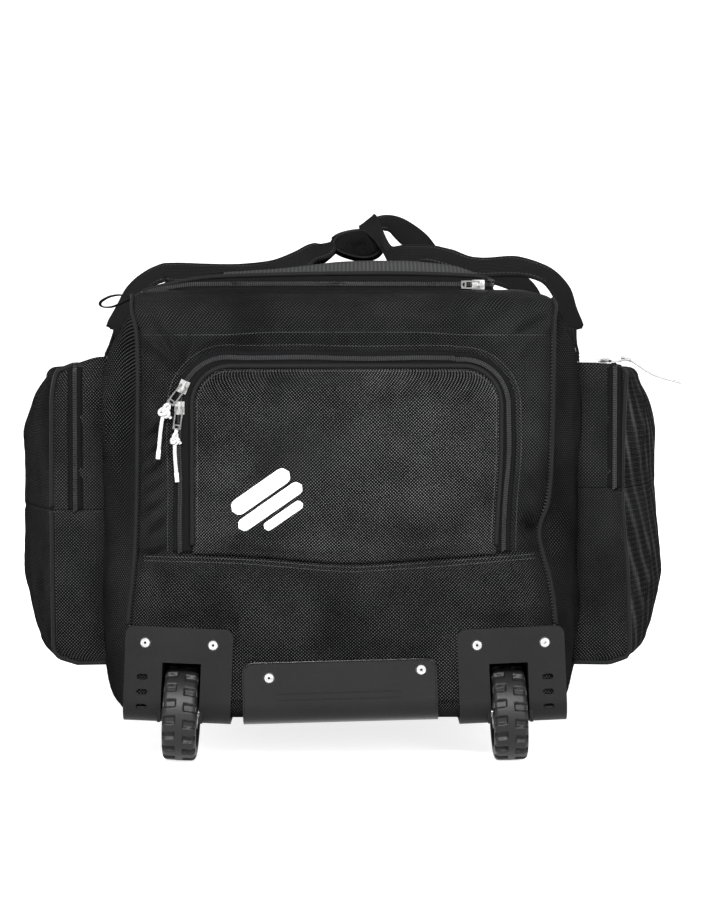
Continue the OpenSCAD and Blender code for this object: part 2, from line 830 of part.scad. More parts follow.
color("#1b1c1e") side_above(1, side_zip_x + 5, side_reach + 9);  // side_flap_right
color("#101011") side_above(-1, side_zip_x + gap / 2, side_zip_x + 5);  // side_zip_outer_left
color("#101011") side_above(1, side_zip_x + gap / 2, side_zip_x + 5);  // side_zip_outer_right
color("#151516") handle(-1, left_profile);  // handle_left
color("#151516") handle(1, right_profile);  // handle_right
color("#1a1a1b") handle_wrap();
color("#151516") tow_strap();
color("#1a1a1b") tow_grip();
color("#8f8f90") on_lid_zip() slider_body();  // lid_slider
color("#8f8f90") on_lid_zip() pull_tab(lid_tab_l);  // lid_pull
color("#c9c9c7") on_end_zip(upper_at, upper_turn) slider_body();  // end_slider_upper
color("#3a3a3a") on_end_zip(upper_at, upper_pull_turn) pull_tab(tab_l);  // end_pull_upper
color("#f2f2f2") on_end_zip(upper_at, upper_pull_turn) lace(swing_lace);  // end_lace_upper
color("#c9c9c7") on_end_zip(lower_at, 0) slider_body();  // end_slider_lower
color("#3a3a3a") on_end_zip(lower_at, lower_pull_turn) pull_tab(tab_l);  // end_pull_lower
color("#f2f2f2") on_end_zip(lower_at, lower_pull_turn) lace(hang_lace);  // end_lace_lower
color("#c9c9c7") on_side_zip(1, -236, 90) slider_body();  // right_slider_outer
color("#3a3a3a") on_side_zip(1, -236, 90) pull_tab(tab_l);  // right_pull_outer
color("#f2f2f2") on_side_zip(1, -236, 90) lace(out_lace);  // right_lace_outer
color("#c9c9c7") on_side_zip(1, -262, 0) slider_body();  // right_slider_inner
color("#3a3a3a") on_side_zip(1, -262, 0) pull_tab(tab_l);  // right_pull_inner
color("#f2f2f2") on_side_zip(1, -262, 0) lace(flat_lace);  // right_lace_inner
color("#c9c9c7") on_side_zip(-1, side_back - 40, 180) slider_body();  // left_slider
color("#3a3a3a") on_side_zip(-1, side_back - 40, 180) pull_tab(tab_l);  // left_pull
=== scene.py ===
"""Wheeled hockey equipment bag: black ballistic-nylon shell, grey ribbed lid,
end pocket, two crowned side pockets, moulded wheel units, carry handles and a
tow handle. Shapes are stated in millimetres and built in metres."""
import math

import bmesh
import bpy
from mathutils import Matrix, Vector, noise


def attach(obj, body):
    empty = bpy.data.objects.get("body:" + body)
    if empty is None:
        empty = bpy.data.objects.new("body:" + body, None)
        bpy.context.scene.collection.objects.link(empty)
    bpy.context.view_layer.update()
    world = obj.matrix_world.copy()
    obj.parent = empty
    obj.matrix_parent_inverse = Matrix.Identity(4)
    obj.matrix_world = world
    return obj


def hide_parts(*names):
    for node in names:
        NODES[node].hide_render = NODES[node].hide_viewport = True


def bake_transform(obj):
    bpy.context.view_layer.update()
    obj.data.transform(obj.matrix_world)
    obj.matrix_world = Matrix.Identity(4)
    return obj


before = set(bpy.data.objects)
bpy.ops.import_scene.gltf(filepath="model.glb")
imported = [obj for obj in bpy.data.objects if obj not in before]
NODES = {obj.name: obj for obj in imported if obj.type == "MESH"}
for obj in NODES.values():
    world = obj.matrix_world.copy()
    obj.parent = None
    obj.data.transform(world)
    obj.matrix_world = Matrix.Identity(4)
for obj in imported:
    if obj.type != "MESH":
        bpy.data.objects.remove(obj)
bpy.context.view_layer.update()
MM = 0.001
Y0, LENGTH = -447.5, 880        # wheel end; the far end is LENGTH behind it
Y1 = Y0 + LENGTH
FLOOR_Z = 42.0
END_HALF = 199                  # half-width of the wheel end at its corner seams, before they wander
ANCHOR_Y = 190                  # the carry handles are sewn on this far to the front and to the back
LEFT, RIGHT = -1, 1
SIDES = ((LEFT, "left"), (RIGHT, "right"))
FRONT, BACK, UP = Vector((0, -1, 0)), Vector((0, 1, 0)), Vector((0, 0, 1))

# ---------------------------------------------------------------- helpers


def v(x, y, z):
    """Point given in millimetres."""
    return Vector((x, y, z)) * MM


def smooth(t):
    t = min(1.0, max(0.0, t))
    return t * t * (3 - 2 * t)


def span(a, b, n):
    """n + 1 even steps from a to b."""
    return [a + (b - a) * i / n for i in range(n + 1)]


def quarter(n):
    """Ends of the n even steps of a quarter turn."""
    return [math.pi / 2 * k / n for k in range(1, n + 1)]


def table(rows, x):
    """Smooth curve through (x, value) rows."""
    if x <= rows[0][0]:
        return rows[0][1]
    if x >= rows[-1][0]:
        return rows[-1][1]
    i = next(i for i in range(len(rows) - 1) if x <= rows[i + 1][0])
    (x0, a), (x1, b) = rows[i], rows[i + 1]
    h = x1 - x0
    ma = (b - rows[i - 1][1]) / (x1 - rows[i - 1][0]) if i else (b - a) / h
    mb = (rows[i + 2][1] - a) / (rows[i + 2][0] - x0) if i + 2 < len(rows) else (b - a) / h
    t = (x - x0) / h
    return ((2 * t ** 3 - 3 * t * t + 1) * a + (t ** 3 - 2 * t * t + t) * h * ma
            + (3 * t * t - 2 * t ** 3) * b + (t ** 3 - t * t) * h * mb)


def spline(points, step):
    """Points of a smooth line through the given ones, about step apart."""
    pts = [Vector(p) for p in points]
    ext = [pts[0] * 2 - pts[1]] + pts + [pts[-1] * 2 - pts[-2]]
    fine = []
    for i in range(1, len(ext) - 2):
        p0, p1, p2, p3 = ext[i - 1:i + 3]
        n = max(2, int((p2 - p1).length / step * 2))
        for t in (k / n for k in range(n)):
            fine.append(0.5 * ((2 * p1) + (p2 - p0) * t + (2 * p0 - 5 * p1 + 4 * p2 - p3) * t * t
                               + (3 * p1 - p0 - 3 * p2 + p3) * t ** 3))
    return resample(fine + [pts[-1]], step)


def running(points):
    """Length along a line at each of its points."""
    run = [0.0]
    for a, b in zip(points, points[1:]):
        run.append(run[-1] + (b - a).length)
    return run


def resample(points, step):
    """Even points along a line, about step apart."""
    pts = [Vector(p) for p in points]
    run = running(pts)
    n = max(1, round(run[-1] / step))
    out, j = [], 0
    for s in (run[-1] * k / n for k in range(n + 1)):
        while j < len(pts) - 2 and run[j + 1] < s:
            j += 1
        seg = run[j + 1] - run[j]
        out.append(pts[j].lerp(pts[j + 1], (s - run[j]) / seg if seg > 1e-9 else 0))
    return out


def wave(p, size, seed=0.0):
    """Smooth seeded noise of about -1 to 1 at a point in millimetres."""
    return noise.noise(Vector(p) / size + Vector((seed, seed * 1.7, -seed)))


def add(name, mesh, mats, body, node=(), shade=True):
    """Object on a body; node is the CAD nodes that it stands for."""
    obj = bpy.data.objects.new(name, mesh)
    bpy.context.scene.collection.objects.link(obj)
    for m in mats if isinstance(mats, (list, tuple)) else [mats]:
        mesh.materials.append(m)
    if shade:
        mesh.polygons.foreach_set("use_smooth", [True] * len(mesh.polygons))
    if body:
        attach(obj, body)
    if node:
        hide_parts(*node)
    return obj


def modifier(obj, kind, **values):
    m = obj.modifiers.new(kind.title(), kind)
    for k, val in values.items():
        setattr(m, k, val)
    return m


def thicken(obj, mm, inner_slot=0, offset=1.0):
    """Give a sheet a thickness; offset 1 grows it inward, -1 outward and 0 both ways."""
    modifier(obj, "SOLIDIFY", thickness=mm * MM, offset=-offset, material_offset=inner_slot,
             use_even_offset=False)


def build(name, verts, faces, uvs=()):
    """New mesh, with a UV for each face corner if given."""
    mesh = bpy.data.meshes.new(name)
    mesh.from_pydata(verts, [], faces)
    if uvs:
        for loop, uv in zip(mesh.uv_layers.new(name="UVMap").data, uvs):
            loop.uv = uv
    mesh.update()
    return mesh


def grid_mesh(name, rows, keep=None, closed=False):
    """Mesh from rows of points, with UVs in metres along both directions."""
    nv, nu = len(rows), len(rows[0])
    faces, uvs = [], []
    mid = rows[nv // 2]
    us = running(mid + mid[:1] if closed else mid)
    vs = running([r[nu // 2] for r in rows])
    for j in range(nv - 1):
        for i in range(nu if closed else nu - 1):
            if keep and not keep(i, j):
                continue
            k = (i + 1) % nu
            faces.append((j * nu + i, j * nu + k, (j + 1) * nu + k, (j + 1) * nu + i))
            uvs += [(us[i], vs[j]), (us[i + 1], vs[j]), (us[i + 1], vs[j + 1]), (us[i], vs[j + 1])]
    mesh = build(name, [p for r in rows for p in r], faces, uvs)
    if keep:
        bm = bmesh.new()
        bm.from_mesh(mesh)
        bmesh.ops.delete(bm, geom=[x for x in bm.verts if not x.link_faces], context="VERTS")
        bm.to_mesh(mesh)
        bm.free()
        mesh.update()
    return mesh


def sweep_mesh(name, path, section, closed=False, up=UP):
    """Section (across, out) in mm swept along a path of points in metres.
    up, or up(i) at point i, is the outward direction."""
    n = len(path)
    rows = []
    for i in range(n):
        a = path[(i - 1) % n] if closed or i else path[0]
        b = path[(i + 1) % n] if closed or i < n - 1 else path[-1]
        t = (b - a).normalized()
        out = up(i) if callable(up) else up
        side = t.cross(out)
        side = side.normalized() if side.length > 1e-6 else Vector((1, 0, 0))
        out = side.cross(t).normalized()
        sec = section(i / max(1, n - 1)) if callable(section) else section
        rows.append([path[i] + side * (x * MM) + out * (y * MM) for x, y in sec])
    m = len(rows[0])
    sec = section(0.5) if callable(section) else section
    us = running(path)
    us.append(us[-1] + (path[0] - path[-1]).length)
    vs = [0.0]
    for k in range(m):
        p, q = sec[k], sec[(k + 1) % m]
        vs.append(vs[-1] + math.hypot(q[0] - p[0], q[1] - p[1]) * MM)
    faces, uvs = [], []
    for i in range(n if closed else n - 1):
        j = (i + 1) % n
        for k in range(m):
            l = (k + 1) % m
            faces.append((i * m + k, i * m + l, j * m + l, j * m + k))
            uvs += [(us[i], vs[k]), (us[i], vs[k + 1]), (us[i + 1], vs[k + 1]), (us[i + 1], vs[k])]
    if not closed:
        faces.append(tuple(range(m - 1, -1, -1)))
        faces.append(tuple((n - 1) * m + k for k in range(m)))
        uvs += [(vs[k], 0) for k in range(m - 1, -1, -1)] + [(vs[k], 0) for k in range(m)]
    return build(name, [p for r in rows for p in r], faces, uvs)


def ring(r, n=10, squash=1.0):
    """Section of a round or flattened cord."""
    return [(r * math.cos(a), r * squash * math.sin(a)) for a in span(0, 2 * math.pi, n)[:-1]]


def strap_section(width, thick, soft=0.9):
    """Webbing section: flat faces, soft edges."""
    h, t = width / 2, thick / 2
    pts = []
    for s, a0 in ((1, -90), (-1, 90)):
        for a in (math.radians(a0 + 45 * k) for k in range(5)):
            pts.append((s * (h - t) + t * math.cos(a) * soft, t * math.sin(a)))
    return pts


def join_meshes(name, parts):
    """One mesh from lists of (verts, faces)."""
    verts, faces = [], []
    for vs, fs in parts:
        base = len(verts)
        verts += vs
        faces += [tuple(base + i for i in f) for f in fs]
    return build(name, verts, faces)


BLOCK_FACES = [(0, 3, 2, 1), (4, 5, 6, 7), (0, 1, 5, 4), (1, 2, 6, 5), (2, 3, 7, 6), (3, 0, 4, 7)]


def pill(p, t, side, out, length, width, height, taper=0.6):
    """Small raised stitch or tooth: t along, side across, out proud. Millimetres."""
    l, w = t * (length * MM / 2), side * (width * MM / 2)
    h = out * (height * MM)
    base = p - h * 0.4
    return ([base - l - w, base + l - w, base + l + w, base - l + w,
             p + h - (l + w) * taper, p + h + (l - w) * taper, p + h + (l + w) * taper, p + h + (w - l) * taper],
            BLOCK_FACES)


def grid(name, rows, mats, body, node=(), slot=None, keep=None, closed=False, flip=False, thick=()):
    """Sheet of cloth through rows of points; thick is what thicken() takes."""
    obj = add(name, grid_mesh(name, rows, keep, closed), mats, body, node)
    if flip:
        obj.data.flip_normals()
    if thick:
        thicken(obj, *thick)
    return obj


def sweep(name, path, section, mat, body, node=(), closed=False, up=UP):
    return add(name, sweep_mesh(name, path, section, closed, up), mat, body, node)


def stitches(name, lines, sizes, body):
    """Stitches along lines of (point, outward) in metres; sizes are pitch, length, width, height."""
    pitch, length, width, height = sizes
    parts = []
    for line in lines:
        src = [p for p, _ in line]
        pts = resample(src, pitch * MM)
        for a, b in zip(pts, pts[1:]):
            mid = (a + b) / 2
            near = min(range(len(src)), key=lambda k: (src[k] - mid).length_squared)
            out = line[near][1].normalized()
            t = (b - a).normalized()
            parts.append(pill(mid, t, t.cross(out).normalized(), out, length, width, height))
    add(name, join_meshes(name, parts), THREAD, body, shade=False)


def coil(name, path, outs, hand, body, pitch=1.7, reach=2.3):
    """Zip teeth along a path: one leaf of the coil, on one side of the line."""
    parts = []
    pts = resample(path, pitch * MM)
    for i in range(len(pts) - 1):
        t = (pts[i + 1] - pts[i]).normalized()
        k = min(len(path) - 1, int(i / max(1, len(pts) - 1) * (len(path) - 1) + 0.5))
        side = t.cross(outs[k]).normalized() * hand
        p = pts[i] + side * (reach * 0.42 * MM) + t * (0.42 * pitch * MM * hand)
        parts.append(pill(p, t, side, outs[k], pitch * 0.62, reach, 1.25, 0.55))
    add(name, join_meshes(name, parts), COIL, body, shade=False)


# -------------------------------------------------------------- materials


class Mat:
    """Small builder for a node material; constants go on the shader's own sockets."""

    def __init__(self, name, colour, rough, **shader):
        self.mat = bpy.data.materials.new(name)
        self.mat.use_nodes = True
        self.tree = self.mat.node_tree
        self.bsdf = self.tree.nodes["Principled BSDF"]
        self.bsdf.inputs["Base Color"].default_value = (*colour, 1)
        self.bsdf.inputs["Roughness"].default_value = rough
        for key, val in shader.items():
            self.bsdf.inputs[key.replace("_", " ")].default_value = val
        self.mat.diffuse_color = (*colour, 1)

    def node(self, kind, props=None, **inputs):
        n = self.tree.nodes.new(kind)
        for key, val in (props or {}).items():
            setattr(n, key, val)
        for key, val in inputs.items():
            indexed = key[0] == "i" and key[1:].isdigit()
            sock = n.inputs[int(key[1:]) if indexed else key.replace("_", " ")]
            if isinstance(val, bpy.types.NodeSocket):
                self.tree.links.new(val, sock)
            else:
                sock.default_value = val
        return n

    def math(self, op, a, b=0.0, c=0.0, clamp=False):
        props = {"operation": op, "use_clamp": clamp}
        return self.node("ShaderNodeMath", props, i0=a, i1=b, i2=c).outputs[0]

    def mul(self, a, b):
        return self.math("MULTIPLY", a, b)

    def plus(self, a, b):
        return self.math("ADD", a, b)

    def mad(self, a, b, c, clamp=False):
        """a * b + c"""
        return self.math("MULTIPLY_ADD", a, b, c, clamp)

    def uv(self):
        xyz = self.node("ShaderNodeSeparateXYZ", i0=self.node("ShaderNodeTexCoord").outputs["UV"])
        return xyz.outputs[0], xyz.outputs[1]

    def place(self):
        return self.node("ShaderNodeTexCoord").outputs["Object"]

    def noise(self, scale, detail=3.0, rough=0.55, vector=None):
        return self.node("ShaderNodeTexNoise", Vector=vector or self.place(), Scale=scale, Detail=detail,
                         Roughness=rough).outputs["Fac"]

    def stretched(self, scale, detail, rough):
        """Noise drawn out along an axis of the object."""
        place = self.node("ShaderNodeMapping", {"vector_type": "POINT"}, Vector=self.place(), Scale=scale)
        return self.noise(1.0, detail, rough, place.outputs[0])

    def sine(self, x, pitch):
        """0 to 1 ripple of the given pitch in metres."""
        return self.mad(self.math("SINE", self.mad(x, 2 * math.pi / pitch, 0.0)), 0.5, 0.5)

    def ramp(self, fac, stops):
        """Colour that passes through the stops as fac rises; each stop is (position, colour)."""
        r = self.node("ShaderNodeValToRGB", i0=fac)
        elements = r.color_ramp.elements
        while len(elements) < len(stops):
            elements.new(0.5)
        for e, (pos, col) in zip(elements, stops):
            e.position = pos
            e.color = (*col, 1)
        return r.outputs["Color"]

    def colour(self, sock):
        self.tree.links.new(sock, self.bsdf.inputs["Base Color"])

    def rough(self, fac, low, high):
        self.tree.links.new(self.mad(fac, high - low, low), self.bsdf.inputs["Roughness"])

    def bump(self, *layers):
        """Each layer is (height socket, depth in metres)."""
        normal = None
        for height, depth in layers:
            b = self.node("ShaderNodeBump", Height=height, Strength=1.0, Distance=depth)
            if normal:
                self.tree.links.new(normal, b.inputs["Normal"])
            normal = b.outputs["Normal"]
        self.tree.links.new(normal, self.bsdf.inputs["Normal"])


def ballistic(name, dark, light, shine, streaks=False, pitch=0.0031):
    """Ballistic nylon: diagonal rows of plump crossings; their dull glint is painted into the colour as light
    threads.
    """
    m = Mat(name, dark, 0.5, Specular_IOR_Level=shine)
    x, y = m.uv()
    cell = m.mul(m.sine(m.plus(x, y), pitch), m.sine(m.math("SUBTRACT", x, y), pitch))
    thread = m.sine(m.plus(x, m.mul(y, 0.31)), pitch * 0.37)
    broad = m.noise(9.0, 4.0)
    fine = m.noise(900.0, 2.0)
    # broad patches that lighten and darken the colour: painted light and shade, partly standing for wear
    wear_and_sheen = m.plus(m.noise(5.5, 3.0, 0.5), m.noise(19.0, 5.0, 0.6))
    wear_and_sheen = m.mad(wear_and_sheen, 1.7, -1.15, clamp=True)
    lift = m.mul(m.mad(cell, 0.8, m.mul(fine, 0.3)), m.mad(wear_and_sheen, 0.42, 0.62))
    height = m.mad(thread, 0.12, cell)
    if streaks:
        # the light diagonal streaks are a painted sheen; the raised dots are the cloth's own pattern
        s = m.sine(m.mad(x, -0.62, y), 0.034)
        band = m.math("POWER", m.mul(s, m.plus(m.noise(24.0, 2.0), 0.45)), 3.0)
        dots = m.math("GREATER_THAN", m.mul(m.sine(x, 0.0052), m.sine(y, 0.0052)), 0.55)
        mark = m.mad(band, 0.34, m.mul(dots, 0.2))
        lift = m.plus(lift, mark)
        height = m.plus(height, m.mul(dots, 0.6))
    # the light end of this ramp is a painted glint on the threads; the cloth itself is near black
    m.colour(m.ramp(lift, [(0.2, dark), (0.45, tuple(0.2 * q for q in light)), (0.85, light)]))
    m.rough(m.plus(m.mul(broad, 0.6), m.mul(fine, 0.4)), 0.36, 0.5)
    m.bump((height, 0.0006), (broad, 0.0008))
    return m.mat


def moulded(name, colour, rough, grain=0.00012, scale=1400.0, scratch=0.0, **shader):
    """Plastic or rubber with a fine moulded grain, and scuffs if scratch is given."""
    m = Mat(name, colour, rough, **shader)
    pits = m.noise(scale, 3.0, 0.6)
    broad = m.noise(14.0, 4.0)
    light = tuple(c * 1.7 + 0.004 for c in colour)
    fac = m.mad(pits, 0.35, m.mul(broad, 0.5))
    layers = [(pits, grain)]
    if scratch:
        lines = m.stretched((55.0, 55.0, 900.0), 3.0, 0.6)
        wear_and_sheen = m.math("GREATER_THAN", lines, 0.68)
        fac = m.plus(fac, m.mul(wear_and_sheen, scratch))
        layers.append((lines, 0.00006))
    m.colour(m.ramp(fac, [(0.15, colour), (0.95, light)]))
    m.rough(fac, max(0.05, rough - 0.1), min(1.0, rough + 0.16))
    m.bump(*layers)
    return m.mat


def ribbed(name, dark, light, pitch, depth, cross=0.35, twill=0.0, shine=0.03):
    """Cloth or webbing with ribs that repeat along its UV's first direction."""
    m = Mat(name, dark, 0.6, Specular_IOR_Level=shine)
    x, y = m.uv()
    if twill:
        x = m.plus(x, m.mul(y, twill))
    rib = m.sine(x, pitch)
    tooth = m.sine(y, pitch * 0.62)
    fine = m.noise(1100.0, 2.0)
    h = m.mad(tooth, cross, rib)
    fac = m.mad(fine, 0.3, m.mul(h, 0.7 / (1 + cross)))
    m.colour(m.ramp(fac, [(0.1, dark), (0.95, light)]))
    m.rough(m.noise(30.0, 3.0), 0.5, 0.75)
    m.bump((h, depth), (m.noise(20.0, 3.0), 0.0005))
    return m.mat


def metal(name, colour, rough, wear=0.2):
    """Brushed metal with dull spots."""
    m = Mat(name, colour, rough, Metallic=1.0)
    spots = m.noise(260.0, 4.0, 0.65)
    brushed = m.stretched((300.0, 2600.0, 300.0), 2.0, 0.5)
    dull = tuple(c * (1 - wear * 1.6) for c in colour)
    m.colour(m.ramp(spots, [(0.3, dull), (0.65, colour)]))
    fac = m.mad(spots, 0.6, m.mul(brushed, 0.4))
    m.rough(fac, max(0.08, rough - 0.1), rough + 0.2)
    m.bump((brushed, 0.00003), (spots, 0.00005))
    return m.mat


def grey(level, blue=None):
    """Grey colour, with its own level of blue if given."""
    return (level, level, blue or level)


DEEP = grey(0.0004)
# the light colour given to each nylon below is the painted glint of its threads
NYLON = ballistic("ballistic_nylon", DEEP, (0.04, 0.0402, 0.0406), 0.01)
# the flap's copy of the same nylon is lighter: a painted sheen
NYLON_FLAP_LIT = ballistic("ballistic_nylon_flap_lit", DEEP, (0.068, 0.0683, 0.069), 0.01)
NYLON_B = ballistic("ballistic_nylon_side", DEEP, (0.039, 0.0392, 0.0396), 0.0)
NYLON_MARKED = ballistic("ballistic_nylon_marked", grey(0.0005), (0.038, 0.0382, 0.0387), 0.0, True)
LINING = ribbed("lining_cloth", grey(0.012, 0.013), grey(0.03, 0.032), 0.0009, 0.00008)
GREY_RIB = ribbed("ribbed_grey_cloth", (0.016, 0.0161, 0.0163), (0.031, 0.0312, 0.0316), 0.0038, 0.0005,
                  cross=0.12, shine=0.0)
BINDING = ribbed("binding_tape", grey(0.0012), grey(0.0115, 0.0117), 0.0014, 0.00015,
                 twill=0.5, shine=0.02)
ZIP_TAPE = ribbed("zip_tape", grey(0.001), grey(0.0075, 0.0077), 0.0012, 0.00016, twill=1.0,
                  shine=0.0)
WEBBING = ribbed("webbing", grey(0.001), grey(0.012, 0.0122), 0.0016, 0.0003, cross=0.6, shine=0.0)
COIL = moulded("zip_coil_nylon", grey(0.009, 0.0095), 0.28, scale=2200.0, Specular_IOR_Level=0.4)
# the thread's light colour is a painted sheen on black thread
THREAD = ribbed("black_thread_painted_sheen", grey(0.01, 0.011), grey(0.05, 0.052), 0.0007, 0.0001)
PLATE = moulded("moulded_plate", grey(0.0022, 0.0023), 0.45, grain=0.0002, Specular_IOR_Level=0.07)
GLOSS = moulded("gloss_plate", grey(0.002, 0.0022), 0.22, grain=0.00005, scratch=0.22,
                Specular_IOR_Level=0.12)
RUBBER = moulded("tyre_rubber", grey(0.0035), 0.45, grain=0.00016, scale=900.0,
                 Specular_IOR_Level=0.14)
HUB = moulded("hub_plastic", grey(0.012), 0.45)
GRIP = moulded("grip_rubber", grey(0.009), 0.65, grain=0.0003, scale=700.0)
BUSH = moulded("bush_plastic", grey(0.25, 0.245), 0.4)
BOARD = moulded("base_board", grey(0.02, 0.021), 0.6, grain=0.0003, scale=500.0)
STEEL = metal("rivet_steel", grey(0.36), 0.3)
NICKEL = metal("slider_nickel", grey(0.33, 0.325), 0.25, 0.3)
DARK_METAL = metal("pull_gunmetal", grey(0.11), 0.32)
LACE = ribbed("white_lace", grey(0.2), grey(0.46, 0.455), 0.0011, 0.0003, cross=0.9)
PRINT = moulded("white_print", grey(0.34), 0.45, grain=0.00003)

LINED, LINED_SIDE = [NYLON, LINING], [NYLON_B, LINING]
ZIPS = ("lid_{}", "end_{}_upper", "end_{}_lower", "right_{}_outer", "right_{}_inner", "left_{}")
for names, mat, bevel in (
        (("wheel_housing_left", "wheel_housing_right"), PLATE, 0.9), (("far_feet",), PLATE, 1.5),
        (("centre_skid_plate",), GLOSS, 0.9), (("rivets",), STEEL, 0.3),
        (("rivet_washers", "wheel_axles"), STEEL, 0), (("wheel_bushes_left", "wheel_bushes_right"), BUSH, 0),
        (("base_board",), BOARD, 0.6), (("tyre_left", "tyre_right"), RUBBER, 0.8),
        (("hub_left", "hub_right"), HUB, 0.6), ([z.format("slider") for z in ZIPS], NICKEL, 0.35),
        ([z.format("pull") for z in ZIPS], DARK_METAL, 0.3)):
    for name in names:
        solid = NODES[name]
        solid.data.materials.clear()
        solid.data.materials.append(mat)
        if bevel:
            modifier(solid, "BEVEL", width=bevel * MM, segments=2, limit_method="ANGLE",
                     angle_limit=math.radians(38), harden_normals=False)

# ------------------------------------------------------- camera and laces

camera = bpy.data.objects.new("camera", bpy.data.cameras.new("camera"))
bpy.context.scene.collection.objects.link(camera)
camera.location = (0.0, -2.6475, 0.382)
camera.rotation_euler = (math.radians(90 - 2.29), 0, math.radians(-0.36))
camera.data.sensor_width = 36
camera.data.lens = 95.04
camera.data.clip_end = 50
bpy.context.scene.camera = camera

SWING = [(0, -0.3, 3.2), (0.3, -6, 4), (2, -13, 4.6), (6.5, -21.5, 4.6), (12, -30.5, 4.6), (17.5, -39, 4.6),
         (22.5, -47, 4.6)]
HANG = [(0, -0.3, 3.2), (0, -7, 4), (0.6, -15, 4.6), (2.2, -25, 4.6), (4.6, -36, 4.6), (7.4, -48, 4.6)]
OUT = [(0, -0.3, 3.2), (0, -7, 4.6), (0, -15, 2), (0, -25, -5), (0, -36, -11), (0, -48, -15), (0, -60, -18),
       (0, -71, -21)]
FLAT = [(0, -0.3, 3.2), (0, -7, 3.6), (0, -16, 3.6), (0, -28, 3.4), (0, -40, 3.4), (0, -50, 3.4)]
TAB = 20.0                       # from a pull's hinge to its eye
LACE_STEP = 1.1                  # between points along a lace
ZIP_Y = Y0 - 1.6                 # plane that the end sliders lie on
POCKET_ZIP_Z = 372.6             # plane that the side sliders lie on


def end_zip_frame(x, z, turn):
    return (Matrix.Translation(v(x, ZIP_Y, z)) @ Matrix.Rotation(math.radians(turn), 4, "Y")
            @ Matrix.Rotation(math.radians(90), 4, "X"))


def side_zip_frame(x, y, turn):
    return Matrix.Translation(v(x, y, POCKET_ZIP_Z)) @ Matrix.Rotation(math.radians(turn), 4, "Z")


def lace(name, place, points, body, node, knot_at, knot_r, stub):
    """Short flat lace through a pull's eye: a knot near the pull, an aglet at the end."""
    path = spline([place @ v(x, y - TAB, z) for x, y, z in points], LACE_STEP * MM)
    out = (place.to_3x3() @ UP).normalized()
    obj = sweep(name, path, lambda t: [(a, b * (0.62 if t < 0.8 else 0.75)) for a, b in ring(1.78, 10)],
                LACE, body, (node,), up=out)
    # overhand knot: a trefoil of the same lace, pulled tight
    at_knot = int(knot_at / LACE_STEP)
    k = path[min(len(path) - 2, at_knot)]
    t = (path[min(len(path) - 1, at_knot + 3)] - k).normalized()
    side = t.cross(out).normalized()
    loop = []
    for i in range(72):
        a = 2 * math.pi * i / 72
        x = (math.sin(a) + 2 * math.sin(2 * a)) / 3
        y = (math.cos(a) - 2 * math.cos(2 * a)) / 3
        loop.append(k + side * (x * knot_r * MM) + t * (y * knot_r * 1.35 * MM)
                    + out * ((0.9 - 1.1 * math.sin(3 * a)) * MM))
    knot = sweep(name + "_knot", loop, ring(1.55, 8, 0.7), LACE, body, closed=True, up=out)
    tail = [k + t * (2 * MM), k - side * (3.5 * MM) + t * (2 * MM), k - side * (stub * MM) + t * (4 * MM)]
    loose = sweep(name + "_stub", spline(tail, 0.001), ring(1.4, 8, 0.6), LACE, body, up=out)
    tip = sweep(name + "_aglet", path[-9:], ring(2.0, 10, 0.72), PRINT, body, up=out)


UPPER_AT = (-108 - 45 * math.cos(math.radians(23)), 335 + 45 * math.sin(math.radians(23)))
lace("lace_end_upper", end_zip_frame(*UPPER_AT, 38), SWING, "end_pull_upper", "end_lace_upper", 8.0, 5.0, 8.0)
lace("lace_end_lower", end_zip_frame(-153, 333, 8), HANG, "end_pull_lower", "end_lace_lower", 9.0, 3.6, 5.5)
lace("lace_side_outer", side_zip_frame(258, -236, 90), OUT, "right_pull_outer", "right_lace_outer", 8.0, 3.6, 6.0)
lace("lace_side_inner", side_zip_frame(258, -262, 0), FLAT, "right_pull_inner", "right_lace_inner", 8.0, 3.6, 6.0)

# ------------------------------------------------------------ body outline

# Tables for the left (L) and right (R) half, in mm. PLAN: distance from the wheel end, half-width.
# EDGE: height, how far out the wheel end's corner seam stands. SHOULDER: height, half-width's limit.
# DECK: distance from the middle, outer height of the top. GUSSET: distance from the wheel end, height.
PLAN_L = [(0, 199), (25, 217.8), (60, 229.6), (130, 237.5), (250, 243.7), (440, 246)]
PLAN_R = [(0, 199), (25, 211), (60, 220), (130, 228), (250, 239), (440, 246)]
EDGE_L = [(42, 205), (134, 201), (164, 197.7), (205, 194), (300, 191.7), (396, 191.7), (434, 196.6)]
EDGE_R = [(42, 200), (134, 195.4), (169, 191), (199, 183), (215, 179.5), (228, 181.5), (244, 187.5),
          (279, 190.8), (353, 192.6), (429, 193)]
SHOULDER_L = [(340, 232), (368, 222), (380, 219.5), (388.5, 215.8), (399.6, 210.2), (409.8, 204.6),
              (422.7, 197.2), (434, 196.3)]
SHOULDER_R = [(340, 222), (371.8, 213), (386.6, 212), (396.8, 209.3), (405, 206.5), (416, 201), (425.5, 194.4),
              (434, 191.7)]
DECK_L = [(0, 443), (150, 443), (194, 437.5), (216, 427), (232, 411), (241, 397), (252, 377)]
DECK_R = [(0, 443), (152, 443), (172, 438.5), (194, 433), (216, 427), (232, 411), (241, 397), (252, 377)]
GUSSET = [(0, 406), (1, 413), (2.5, 419), (10.5, 431), (29, 439.5), (59, 443), (66, 443)]
OPEN_X0, OPEN_X1, OPEN_D0, OPEN_D1 = -184.0, 132.0, 65.0, 822.0      # edges of the opening under the lid


def edge_x(side, z):
    """Where the wheel end's corner seam stands at height z."""
    return side * table(EDGE_L if side < 0 else EDGE_R, z)


